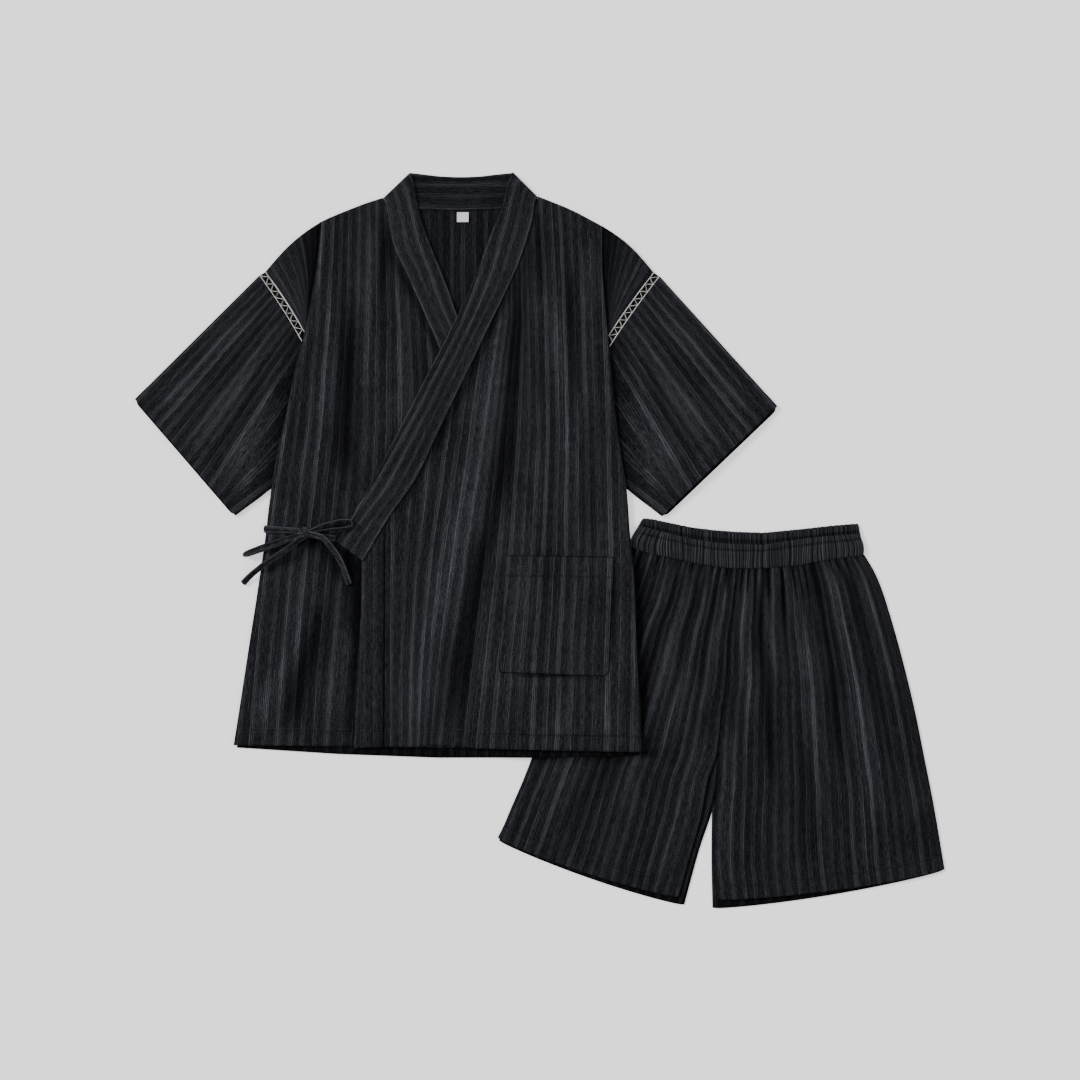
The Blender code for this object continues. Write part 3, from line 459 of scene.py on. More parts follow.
# Jacket back: one wide panel lying flat on the surface, climbing onto the shorts at its lower corner.
# It shows inside the neck, along the hem and from below.
SHORTS_HEIGHT = 6.0
RAMP = 78.0
RAMP_SAG = 0.8
SHORTS_SIDE = ((130.0, -14.0), (-55.6, -410.0))
SHORTS_TOP_Y = 45.0
SHORTS_TOP_RAMP = 50.0
WALL = 1.0


def smooth(value):
    """0 to 1 with soft ends."""
    value = np.clip(value, 0.0, 1.0)
    return value * value * (3.0 - 2.0 * value)


def between(first, last, share):
    return first + (last - first) * share


def lift(x, y):
    """How far the shorts raise the jacket at a point."""
    (x0, y0), (x1, y1) = SHORTS_SIDE
    dx, dy = x1 - x0, y1 - y0
    beyond = ((y - y0) * dx - (x - x0) * dy) / math.hypot(dx, dy)
    return SHORTS_HEIGHT * smooth((beyond + RAMP + 4.0) / RAMP) * smooth((SHORTS_TOP_Y - y) / SHORTS_TOP_RAMP)


def cloth_waves(x, y, across_scale, along_scale, seed):
    """Soft unevenness of lying cloth, drawn out along the threads, about -1 to 1."""
    places = zip(x.ravel() * across_scale, y.ravel() * along_scale)
    return np.array([noise.noise(Vector((*place, seed))) for place in places]).reshape(x.shape) * 1.6


def surface(*parts):
    """Grid of points, or of places on the cloth, from its coordinates."""
    return np.stack(np.broadcast_arrays(*parts), axis=2)


def lay_cloth(name, grid, cloth_map, material, painted_shading, ring=False, wall=WALL):
    """A thin closed shell of cloth round a grid of points on its middle."""
    rows, columns = grid.shape[:2]
    faces, corners = [], []
    for row in range(rows - 1):
        for column in range(columns if ring else columns - 1):
            after = (column + 1) % columns
            faces.append((row * columns + column, (row + 1) * columns + column,
                          (row + 1) * columns + after, row * columns + after))
            corners.extend(((row, column), (row + 1, column), (row + 1, column + 1), (row, column + 1)))
    corners = np.array(corners)
    piece = new_piece(name, grid.reshape(-1, 3), faces, material)
    map_cloth(piece, cloth_map[corners[:, 0], corners[:, 1]], np.tanh(painted_shading))
    shell = piece.modifiers.new("wall", "SOLIDIFY")
    shell.thickness = wall * MM
    shell.offset = 0.0
    return piece


def declare_cloth(piece, node):
    declare(piece, "cloth", node)


def line_inside(grid, distance):
    """The line on a grid at a distance from its last row."""
    line = np.empty((grid.shape[1], 3))
    for column in range(grid.shape[1]):
        side = grid[::-1, column]
        reach = running_length(side)
        line[column] = [np.interp(distance, reach, side[:, axis]) for axis in range(3)]
    return line


def mottled(name, scale, dark, light, roughness, specular=0.5, sheen=0.0, strength=0.0, depth=0.0, detail=2.0):
    """Plain fibre whose tone, and relief where it has a strength, vary finely over the piece."""
    material, tree, shader = new_material(name, roughness, specular, sheen)
    place = add_node(tree, "ShaderNodeTexCoord", {}).outputs["Object"]
    fibre = add_node(tree, "ShaderNodeTexNoise", {"Vector": place, "Scale": scale, "Detail": detail}).outputs[0]
    tree.links.new(mix_colours(tree, fibre, (*dark, 1.0), (*light, 1.0)), shader["Base Color"])
    if strength:
        bump = add_node(tree, "ShaderNodeBump", {"Strength": strength, "Distance": depth, "Height": fibre})
        tree.links.new(bump.outputs[0], shader["Normal"])
    return material


THREAD = mottled("sewing_thread", 260.0, (0.012, 0.012, 0.013), (0.056, 0.057, 0.062), 0.8, specular=0.08,
                 detail=1.0)
STITCH_PITCH = 3.6
STITCH_LENGTH = 2.5
STITCH_WIDTH = 0.75


def sew(name, lines, pitch=STITCH_PITCH, length=STITCH_LENGTH, width=STITCH_WIDTH, raise_by=0.62):
    """Short stitches standing a little proud of the cloth along lines on its middle."""
    vertices, faces = [], []
    for line in lines:
        line = np.asarray(line, float)
        reach = running_length(line)
        places = np.arange(pitch / 2, reach[-1], pitch)
        centres, ahead, behind = (np.stack([np.interp(spots, reach, line[:, axis]) for axis in range(3)], axis=1)
                                  for spots in (places, places + 0.4, places - 0.4))
        along = ahead - behind
        along /= np.linalg.norm(along, axis=1)[:, None]
        side = np.cross(along, (0.0, 0.0, 1.0))
        side /= np.linalg.norm(side, axis=1)[:, None]
        up = np.cross(side, along)
        centres = centres + up * raise_by
        half = width / 2
        tips = along * length / 2
        corners = np.stack([centres + tips - up * 0.25, centres - tips - up * 0.25, centres + side * half,
                            centres + up * half, centres - side * half, centres - up * half], axis=1)
        for stitch in corners:
            first = len(vertices)
            vertices.extend(stitch.tolist())
            for step in range(4):
                a, b = first + 2 + step, first + 2 + (step + 1) % 4
                faces.extend(((first, b, a), (first + 1, a, b)))
    row = new_piece(name, vertices, faces, THREAD)
    declare(row, "cloth")
    return row


# One row for each line of the front panels, from the shoulder to the hem: the inner edge, the crease of
# the side pleat, the outer edge, the heights of pleat and outer edge.
FrontRow = namedtuple("FrontRow", "in_x in_y fold_x fold_y edge_x edge_y fold_z edge_z")
FRONT_RIGHT_ROWS = [FrontRow(*row) for row in (
    (-214.5, 466.4, -298, 432.8, -373.3, 365.2, 4.2, 4.0),
    (-199, 430, -300, 407, -355.0, 339.6, 6.2, 4.0),
    (-192, 402, -303, 380, -340.1, 316.7, 8.2, 4.0),
    (-175, 360, -309, 341, -326.8, 294.4, 9.6, 4.0),
    (-160, 327, -315, 306, -319.8, 281, 10.4, 4.0),
    (-146, 293, -320, 280, -314, 280, 10.6, 5.6),
    (-127, 256, -329, 245, -323, 245, 10.6, 5.6),
    (-92, 180, -345, 170, -339, 170, 10.0, 5.6),
    (-66, 125, -360, 105, -354, 105, 9.2, 5.6),
    (-46, 80, -366, 66, -362, 66, 8.2, 5.4),
    (-33, 27, -371, 18, -371, 18, 5.2, 1.0),
    (-47, -60, -382, -60, -382, -60, 5.2, 1.0),
    (-57, -150, -396, -150, -396, -150, 5.2, 1.0),
    (-66, -222, -407, -222, -407, -222, 5.2, 1.0),
    (-72, -284, -416, -280, -416, -280, 5.2, 1.0),
)]
FRONT_LEFT_ROWS = [FrontRow(*row) for row in (
    (-3.2, 466.4, 84, 426.5, 153.6, 364.2, 4.8, 4.0),
    (-24, 425, 84, 400, 139.4, 345.5, 6.4, 4.0),
    (-38, 385, 84, 376, 126.2, 327.6, 8.2, 4.0),
    (-58, 340, 87, 331, 107.2, 300.6, 9.8, 4.0),
    (-74, 306, 90, 298, 95.2, 282.2, 10.6, 4.0),
    (-92, 267, 92, 272, 86, 272, 10.8, 5.6),
    (-114, 222, 96, 225, 90, 225, 10.8, 5.6),
    (-144, 160, 102, 165, 96, 165, 10.2, 5.6),
    (-169, 108, 110, 112, 104, 112, 9.4, 5.6),
    (-186, 74, 117, 71, 113, 71, 8.2, 5.4),
    (-211.0, 26, 119.6, 20, 119.6, 20, 5.6, 1.0),
    (-211.4, -60, 127.4, -60, 127.4, -60, 5.6, 1.0),
    (-211.8, -150, 131, -150, 131, -150, 5.6, 1.0),
    (-212.0, -222, 135, -222, 135, -222, 5.6, 1.0),
    (-212.4, -282, 137, -289, 137, -289, 5.6, 1.0),
)]
BACK_TOP = ((-372.8, 363.8), (-337, 399.6), (-298, 431.2), (-256, 450.4), (-214, 465.0), (-167, 452.8),
            (-113, 451.4), (-56, 452.8), (-3.6, 467.2), (42, 445.8), (84, 424.6), (120, 395.6), (153.0, 362.4))
BACK_Z = 0.6
BACK_CAP_ROWS = 5
BACK_EDGE_INSET = 1.8
BACK_HEM_DROP = (3.6, 10.2, 13.0, 10.4, 4.4)
BACK_STITCH = 20.0
HEM_Y = -284.0
HEM_SHADE_REACH = 40.0
BACK_COLUMNS = 110
BACK_ROWS = 150


def make_back():
    across = np.linspace(0.0, 1.0, BACK_COLUMNS)
    index = across * (len(BACK_TOP) - 1)
    top_x, top_y = (np.interp(index, range(len(BACK_TOP)), column) for column in zip(*BACK_TOP))
    sway, arch = (top - np.interp(across, (0, 1), (top[0], top[-1])) for top in (top_x, top_y))
    rows = [(*BACK_TOP[0], *BACK_TOP[-1], 1.0, 0.0)]
    for number, (right, left) in enumerate(zip(FRONT_RIGHT_ROWS, FRONT_LEFT_ROWS)):
        if number == 0 or number == BACK_CAP_ROWS:
            continue
        if number < BACK_CAP_ROWS:
            ends = (right.edge_x, right.edge_y, left.edge_x, left.edge_y)
        else:
            ends = (right.fold_x + BACK_EDGE_INSET, right.fold_y, left.fold_x - BACK_EDGE_INSET, left.fold_y)
        follow = max(0.0, 1.0 - number / 3.0) * 0.6
        rows.append((*ends, follow, float(number == len(FRONT_RIGHT_ROWS) - 1)))
    x0, y0, x1, y1, follow, drop = even_curve(rows, BACK_ROWS, slice(0, 4)).T[:, :, None]
    follow = np.maximum(follow, 0.0)
    x = x0 + (x1 - x0) * across + sway * follow
    y = y0 + (y1 - y0) * across + arch * follow * np.where(np.arange(BACK_ROWS) == 0, 1.0, 0.97)[:, None]
    x[0] = top_x
    y = y - drop * np.interp(across, np.linspace(0.0, 1.0, len(BACK_HEM_DROP)), BACK_HEM_DROP)
    raised = lift(x, y)
    grid = surface(x, y, BACK_Z + raised - RAMP_SAG * np.sin(math.pi * raised / SHORTS_HEIGHT))
    in_shade = -0.30 - 0.6 * smooth((HEM_SHADE_REACH - (y - HEM_Y)) / HEM_SHADE_REACH)
    return lay_cloth("back_panel", grid, surface(x, y), cotton("back_cotton", 0.003), in_shade), grid


back_panel, back_grid = make_back()
back_hem = sew("back_hem_stitches", [line_inside(back_grid, BACK_STITCH)])
declare_cloth(back_panel, "jacket_back")


# Jacket fronts: each runs from the shoulder to the hem with its cap dropped off the shoulder. The cloth is
# folded along the side of the body and steps down onto the cap and the sleeve, or turns under at the side.
Crease = namedtuple("Crease", "height width path")
RIGHT_CREASES = (
    Crease((-2.2, -0.6), (5, 9), ((-220, 464), (-216, 446), (-210.5, 419), (-214, 370), (-222, 322))),
    Crease((2.0, 2.8), (8, 11), ((-230, 456), (-228, 400), (-232, 300), (-237, 190))),
    Crease((1.4, 1.2), (8, 11), ((-192, 385), (-190, 300), (-188, 160))),
    Crease((-1.0, -1.0), (6, 9), ((-187, 368), (-173, 322), (-157, 280), (-155, 214))),
    Crease((1.2, 1.0), (6, 10), ((-176, 350), (-160, 312), (-144, 268))),
    Crease((-2.0, -2.6), (10, 16), ((-258, 330), (-262, 200), (-266, 90))),
    Crease((2.6, 2.2), (9, 14), ((-286, 400), (-284, 300), (-296, 180), (-306, 70))),
    Crease((2.4, 3.8), (11, 13), ((-316, -20), (-322, -66), (-333, -148), (-364, -204), (-384, -262))),
    Crease((-2.2, -3.2), (12, 13), ((-288, -60), (-300, -110), (-311, -150), (-333, -224), (-344, -270))),
    Crease((1.6, 2.6), (9, 10), ((-264, -100), (-269, -133), (-280, -200), (-288, -262))),
    Crease((1.6, 2.0), (7, 8), ((-226, -90), (-232, -180), (-238, -270))),
    Crease((-1.6, -1.4), (9, 9), ((-250, -120), (-258, -200), (-262, -270))),
    Crease((1.6, 1.0), (8, 10), ((-342, 60), (-350, 10), (-362, -60))),
)
LEFT_CREASES = (
    Crease((1.8, 5.2), (9, 15), ((-20, 430), (-38, 372), (-50, 330), (-62, 214), (-78, 146))),
    Crease((5.2, 6.6), (15, 17), ((-70, 180), (-83, 120), (-93, 54), (-124, -70), (-150, -170), (-168, -262))),
    Crease((-1.6, -2.4), (8, 11), ((-10, 420), (-24, 372), (-33, 263), (-46, 130), (-66, 30))),
    Crease((-1.4, -1.8), (12, 16), ((-58, 60), (-80, -40), (-94, -110), (-110, -200), (-116, -262))),
    Crease((2.0, 2.4), (9, 12), ((7, 446), (14, 360), (26, 272), (38, 150), (46, 66))),
    Crease((2.2, 2.4), (8, 10), ((70, 424), (66, 345), (61, 240), (60, 170))),
    Crease((-2.0, -1.4), (7, 9), ((41, 392), (42, 340), (48, 250), (52, 180))),
    Crease((-1.6, -1.0), (5, 8), ((3, 463), (-2, 440), (0, 390), (4, 320))),
    Crease((1.6, 1.8), (8, 12), ((-98, 150), (-118, 40), (-142, -60), (-176, -180), (-190, -262))),
    Crease((-1.2, -1.4), (7, 9), ((-112, 40), (-150, -90), (-178, -210), (-186, -270))),
    Crease((1.8, 1.6), (8, 12), ((-38, 90), (-52, 0), (-64, -40), (-78, -200), (-82, -262))),
    Crease((1.0, 1.6), (10, 14), ((-8, 200), (0, 60), (-14, 0), (-20, -60), (-44, -240))),
    Crease((1.2, 1.2), (10, 12), ((84, 160), (92, 60), (104, -60), (112, -240))),
    Crease((-1.0, -1.2), (9, 10), ((-20, -190), (-26, -230), (-32, -270))),
    Crease((1.2, 1.8), (9, 11), ((38, -196), (34, -235), (30, -268))),
    Crease((1.0, 1.6), (8, 11), ((88, -196), (88, -235), (90, -268))),
)
# Lengthwise threads: the cloth's own distance across, and where that thread lies at a few heights
Grain = namedtuple("Grain", "across at_460 at_303 at_146 at_minus_37 at_minus_183 at_minus_290")
GRAIN_HEIGHTS = (-290.0, -183.0, -37.0, 146.0, 303.0, 460.0)
RIGHT_GRAIN = [Grain(*row) for row in (
    (0, -329, -337, -353, -379, -393, -402),
    (52, -282, -288, -301, -322, -335, -342),
    (102, -243, -246, -251, -267, -280, -288),
    (152, -204, -199, -199, -207, -221, -228),
    (208, -168, -152, -141, -146, -160, -166),
)]
LEFT_GRAIN = [Grain(*row) for row in (
    (0, -207, -207, -207, -207, -207, -207),
    (39, -110, -123, -141, -165, -174, -175),
    (96, -50, -55, -78, -106, -128, -141),
    (131, -37, -37, -54, -71, -89, -100),
    (180, -19, -13.5, -11, -21, -35, -43),
    (204, -0.5, 7, 10, 2, -8, -13.5),
    (269, 54, 60, 65, 67.5, 61, 57),
    (326, 114, 114.5, 120, 125, 123.5, 122),
)]
# Lines along which the cloth is painted lighter or, as painted shadow where another piece lies close above it,
# darker
RIGHT_SHADES = (
    Crease((-2.6, -1.4), (5, 11), ((-219, 462), (-214, 440), (-210, 416), (-214, 370), (-222, 322),
                                   (-226, 270))),
    Crease((-0.9, -1.4), (13, 17), ((-262, 360), (-264, 240), (-266, 140), (-268, 60))),
    Crease((-3.0, -3.6), (10, 12), ((-345, 2), (-322, 2), (-300, -4), (-286, -18), (-274, -44), (-268, -60))),
    Crease((-2.6, -2.4), (8, 9), ((-330, -6), (-352, -24), (-376, -44))),
    Crease((-5.4, -4.0), (12, 9), ((-274, 20), (-262, -12), (-251, -44), (-251, -80), (-256, -150))),
    Crease((-5.0, -5.0), (3.4, 3.4), ((-243.6, -14), (-245.4, -80), (-249, -155), (-253, -224), (-256.6, -310))),
    Crease((-2.6, -3.0), (6, 6), ((-216, 448), (-207, 402), (-190, 366), (-168, 322), (-138, 256), (-100, 176))),
)
LEFT_SHADES = (
    Crease((-1.0, -2.4), (9, 17), ((-16, 420), (-26, 340), (-33, 263), (-46, 130), (-66, 30), (-84, -50),
                                   (-100, -140), (-112, -262))),
    Crease((1.0, 1.8), (5, 6), ((-52, 300), (-62, 214), (-80, 120), (-92, 54), (-112, -30), (-138, -130),
                                (-162, -240))),
    Crease((-1.4, -1.2), (5, 7), ((2, 462), (-1, 430), (1, 385), (5, 330))),
    Crease((-1.0, -0.8), (10, 11), ((40, 410), (42, 330), (48, 250), (52, 190))),
    Crease((-2.8, -3.2), (6, 7), ((-2, 452), (-12, 412), (-26, 372), (-66, 288), (-130, 155), (-199, 33),
                                  (-214, 8))),
    Crease((-4.6, -4.6), (1.8, 1.8), ((103, -10), (99.0, -120), (96.4, -178))),
    Crease((-4.0, -4.0), (1.9, 1.9), ((-75, -182.4), (-57, -182.8), (10, -185.2), (88, -187.6))),
)
FOLD_SHADE = 4.4       # height of fold that turns the cloth's painted shading fully light or dark
FRONT_RIGHT_Z = 2.4
FRONT_LEFT_Z = 5.6
LOWEST_RIGHT = 1.8     # no trough of a front goes below this, or it would sink into what lies under it
LOWEST_LEFT = 3.9
COLLAR_LIFT = 1.9
RIGHT_COLLAR_MIDDLE = ((-183, 444), (-160, 367), (-139, 317), (-111, 252), (-75, 177), (-36, 99), (-1, 28),
                       (20, -16))
FRONT_ROWS = 190
RIGHT_COLUMNS = 96
LEFT_COLUMNS = 110
PLEAT_COLUMNS = 18
FOLD_SHARE = 0.34      # of the pleat's columns, how many go round the fold
CAP_CLOTH = 112.0
EDGE_ROLL = 4.0
SHOULDER_BULGE = 2.4
CAP_BULGE = 4.6
SHOULDER_FADE = 30.0
ROLL_ROWS = 7
HEM_RISE = 3.6         # where the left front's hem rides up a little
HEM_RISE_AT = -136.0
HEM_RISE_WIDTH = 30.0
HEM_FOLD = 20.0
HEM_STITCHES = (19.0, 23.5)


def near_path(x, y, path):
    """Distance of each point from a smooth path, and the share of the path's length at its nearest place."""
    path = even_curve(path, 28, slice(0, 2))
    starts = running_length(path)
    nearest = np.full(x.shape, 1e9)
    share = np.zeros_like(x)
    for start, (ax, ay), (bx, by), gap in zip(starts, path[:-1], path[1:], np.diff(starts)):
        t = np.clip(((x - ax) * (bx - ax) + (y - ay) * (by - ay)) / gap ** 2, 0.0, 1.0)
        away = np.hypot(x - ax - (bx - ax) * t, y - ay - (by - ay) * t)
        closer = away < nearest
        nearest = np.where(closer, away, nearest)
        share = np.where(closer, (start + t * gap) / starts[-1], share)
    return nearest, share


def lowest_left(x, y):
    """The left front can't sink into the right front or the right half of the collar beneath it."""
    away, _ = near_path(x, y, RIGHT_COLLAR_MIDDLE)
    return LOWEST_LEFT + COLLAR_LIFT * smooth((46.0 - away) / 10.0)


def crease_heights(x, y, creases):
    """Sum of the soft ridges and troughs along the creases at each point."""
    total = np.zeros_like(x)
    for crease in creases:
        nearest, share = near_path(x, y, crease.path)
        width = between(*crease.width, share)
        height = between(*crease.height, share)
        ends = smooth(share / 0.34) * smooth((1.0 - share) / 0.26 + 0.18)
        total += height * ends * bell(nearest, width)
    return total


def across_cloth(x, y, grain):
    """Distance across the cloth at each point, read between its lengthwise threads."""
    table = np.array(grain)
    known = table[:, 0]
    lines = np.stack([np.interp(y, GRAIN_HEIGHTS, row[:0:-1]) for row in table]).reshape(len(table), -1)
    values = [np.interp(at, line, known) + min(0.0, at - line[0]) + max(0.0, at - line[-1])
              for at, line in zip(x.ravel(), lines.T)]
    return np.array(values).reshape(x.shape)


def front_relief(x, y, creases, seed):
    """Creases and soft waves of a front."""
    folded = crease_heights(x, y, creases)
    waves = cloth_waves(x, y, 0.045, 0.008, seed) * 0.55 + cloth_waves(x, y, 0.16, 0.02, seed + 7.0) * 0.12
    return folded, waves


def shoulder_roll(grid, cloth_map, painted_shading):
    """Adds the rows that carry the top row over the shoulder and down to the back."""
    top = grid[0]
    along = np.gradient(top[:, :2], axis=0)
    along /= np.linalg.norm(along, axis=1)[:, None]
    out = np.stack([-along[:, 1], along[:, 0]], axis=1)
    out[out[:, 1] < 0] *= -1.0
    radius = np.maximum(0.55, (top[:, 2] - 1.0) / 2.0)
    rolled, rolled_map = [], []
    for step in range(ROLL_ROWS, 0, -1):
        turn = math.pi * 0.94 * step / ROLL_ROWS
        place = top[:, :2] + out * (radius * math.sin(turn))[:, None]
        rolled.append(np.column_stack([place, top[:, 2] - radius * (1.0 - math.cos(turn))]))
        rolled_map.append(cloth_map[0] + np.column_stack([np.zeros(len(top)), radius * turn]))
    return (np.concatenate([rolled, grid]), np.concatenate([rolled_map, cloth_map]),
            np.concatenate([np.repeat(painted_shading[:1], ROLL_ROWS, axis=0), painted_shading]))


def make_front(rows, creases, shades, grain, side, seed, columns):
    """Points of a front from its inner edge over the side fold to the cap's edge or the turned-in edge."""
    base_z, rise = (FRONT_LEFT_Z, HEM_RISE) if side > 0 else (FRONT_RIGHT_Z, 0.0)
    lines = even_curve(rows, FRONT_ROWS, slice(0, 4))
    across = np.linspace(0.0, 1.0, columns)
    in_x, in_y, fold_x, fold_y, edge_x, edge_y, fold_z, edge_z = lines.T[:, :, None]
    x = between(in_x, fold_x, across)
    y = between(in_y, fold_y, across)
    above_hem = running_length(lines[::-1, 2:4])[::-1, None]
    y = y + rise * bell(x - HEM_RISE_AT, HEM_RISE_WIDTH) * smooth(1.0 - above_hem / 60.0)
    near_top = np.exp(-(above_hem[0] - above_hem) / SHOULDER_FADE)
    y = y + SHOULDER_BULGE * np.sin(math.pi * across) * near_top
    width = np.hypot(fold_x - in_x, fold_y - in_y)
    near_fold = (1.0 - across) * width
    fade = smooth((across * width - 11.0) / 16.0) * smooth(near_fold / 22.0)
    folded, waves = front_relief(x, y, creases, seed)
    turned = between(base_z, fold_z, smooth((across - 0.52) / 0.44))
    rolled = 1.0 - np.sqrt(np.clip(1.0 - (1.0 - np.clip(near_fold / 9.0, 0.0, 1.0)) ** 2, 0.0, 1.0))
    rolled = EDGE_ROLL * rolled * smooth((fold_z - 5.2) / 4.0) * 0.45
    from_hem = y - y[-1]
    hem = 0.4 * smooth((HEM_FOLD - from_hem) / 2.0)
    lowest = lowest_left(x, y) if side > 0 else LOWEST_RIGHT
    z = np.maximum(turned + (folded + waves) * fade, lowest) + lift(x, y) - rolled + hem
    # Painted light and shade: lighter on ridges and darker in troughs, painted shadow and light along the shade
    # lines, painted shade along the hem's fold and a painted highlight beside the side fold
    painted_shading = (folded / FOLD_SHADE) * fade + 0.12 * waves + crease_heights(x, y, shades) / FOLD_SHADE
    painted_shading = painted_shading - 0.35 * bell(from_hem - HEM_FOLD - 0.6, 1.2) + 0.35 * bell(near_fold - 3.0, 3.5)

    # Round the side fold, then out over the cap near the shoulder, or back under the body below the sleeve
    step = np.arange(1, PLEAT_COLUMNS + 1) / PLEAT_COLUMNS
    is_cap = smooth((edge_x - fold_x) * side / 12.0 + 0.5)
    top_z = z[:, -1:]
    reach = np.clip(step / FOLD_SHARE, 0.0, 1.0)
    outward = np.clip((step - FOLD_SHARE) / (1.0 - FOLD_SHARE), 0.0, 1.0)
    cap_length = np.hypot(edge_x - fold_x, edge_y - fold_y)
    puff = 2.6 * smooth(cap_length / 60.0) * np.sin(math.pi * outward) ** 1.2
    turn = math.pi * reach
    radius = np.maximum((top_z - edge_z - lift(fold_x, fold_y)) / 2.0, 0.4)
    cap_x = fold_x + side * 2.2 * np.sin(turn / 2) + (edge_x - fold_x - side * 2.2) * outward
    cap_y = fold_y - 0.8 * reach + (edge_y - fold_y + 0.8) * outward
    cap_y = cap_y + CAP_BULGE * np.sin(math.pi * outward) ** 0.9 * near_top
    under_z = top_z - radius * (1.0 - np.cos(turn))
    cap_z = under_z + (edge_z - top_z + 2 * radius) * outward + puff
    under_x = fold_x + side * radius * np.sin(turn) - side * 6.5 * outward
    out = [between(*ends, is_cap) for ends in ((under_x, cap_x), (fold_y, cap_y), (under_z, cap_z))]
    grid = np.hstack([surface(x, y, z), surface(*out)])

    cloth_x = across_cloth(x, y, grain)
    body_cloth = cloth_x[:, -1:] + side * 12.0 * reach
    cap_cloth = 1000.0 + side * CAP_CLOTH * outward
    cloth_out = np.where((step > FOLD_SHARE) & (is_cap > 0.5), cap_cloth, body_cloth)
    # Painted shade on the cap beside the fold, painted lighter towards the cap's edge
    shade = (0.25 * outward - 1.30 * np.exp(-outward / 0.30)) * is_cap
    return shoulder_roll(grid, surface(np.hstack([cloth_x, cloth_out]), grid[:, :, 1]), np.hstack([painted_shading, shade]))


FRONT_SEED = 11.0      # the left front's waves, which the pocket on it follows
right_grid, right_map, right_painted_shading = make_front(
    FRONT_RIGHT_ROWS, RIGHT_CREASES, RIGHT_SHADES, RIGHT_GRAIN, -1, 3.0, RIGHT_COLUMNS)
left_grid, left_map, left_painted_shading = make_front(
    FRONT_LEFT_ROWS, LEFT_CREASES, LEFT_SHADES, LEFT_GRAIN, 1, FRONT_SEED, LEFT_COLUMNS)
right_front = lay_cloth("right_front_panel", right_grid, right_map, cotton("right_front_cotton"), right_painted_shading)
left_front = lay_cloth("left_front_panel", left_grid, left_map, cotton("left_front_cotton"), left_painted_shading)
right_seams = sew("right_front_stitches", [line_inside(right_grid, d)[:RIGHT_COLUMNS - 2] for d in HEM_STITCHES])
left_seams = sew("left_front_stitches", [line_inside(left_grid, d)[:LEFT_COLUMNS - 2] for d in HEM_STITCHES])
declare_cloth(right_front, "front_right")
declare_cloth(left_front, "front_left")

# Overlap strips: narrow straight pieces sewn down the front edges, turned in and topstitched at the free edge.
StripRow = namedtuple("StripRow", "seam_x seam_y free_x free_y")
OKUMI_RIGHT_ROWS = [StripRow(*row) for row in (
    (-32.4, 27, 5, -22),
    (-46.4, -60, -1, -80),
    (-56.4, -150, -12, -155),
    (-65.4, -222, -20, -224),
    (-71.4, -284, -26, -284),
)]
OKUMI_LEFT_ROWS = [StripRow(*row) for row in (
    (-211.6, 26, -243, -25),
    (-212.0, -60, -243.6, -80),
    (-212.4, -150, -247, -155),
    (-212.6, -222, -251, -224),
    (-213.0, -282, -254, -284),
)]
FREE_EDGE_STITCH = 3.2
SEAM_STITCH = 7.5


def make_okumi(name, rows, base_z, seed):
    seam_x, seam_y, free_x, free_y = even_curve(rows, 110, slice(0, 4)).T[:, :, None]
    across = np.linspace(0.0, 1.0, 22)
    x = between(seam_x, free_x, across)
    y = between(seam_y, free_y, across)
    from_seam = np.hypot(free_x - seam_x, free_y - seam_y) * across
    from_free = np.hypot(free_x - seam_x, free_y - seam_y) * (1.0 - across)
    rounding = -0.7 * np.exp(-from_free / 1.4) - 0.8 * np.exp(-from_seam / 1.6)
    z = base_z + lift(x, y) + rounding + 0.35 * cloth_waves(x, y, 0.03, 0.012, seed)
    # Painted highlight along the free edge and painted shade along the seam
    painted_shading = 0.55 * bell(from_free - 1.6, 1.6) - 0.7 * np.exp(-from_seam / 1.6)
    grid = surface(x, y, z)
    return grid, lay_cloth(name, grid, surface(x - seam_x[-1], y), cotton(name + "_cotton", 0.002), painted_shading)


_, okumi_right = make_okumi("right_overlap", OKUMI_RIGHT_ROWS, FRONT_RIGHT_Z, 5.0)
okumi_grid, okumi_left = make_okumi("left_overlap", OKUMI_LEFT_ROWS, FRONT_LEFT_Z, 6.0)
okumi_sides = okumi_grid.transpose(1, 0, 2)
overlap_seams = sew("left_overlap_stitches", [
    line_inside(okumi_sides, FREE_EDGE_STITCH)[4:], line_inside(okumi_sides[::-1], SEAM_STITCH)[6:],
    *(line_inside(okumi_grid, d)[1:-1] for d in HEM_STITCHES)])
declare_cloth(okumi_right, "okumi_right")
declare_cloth(okumi_left, "okumi_left")


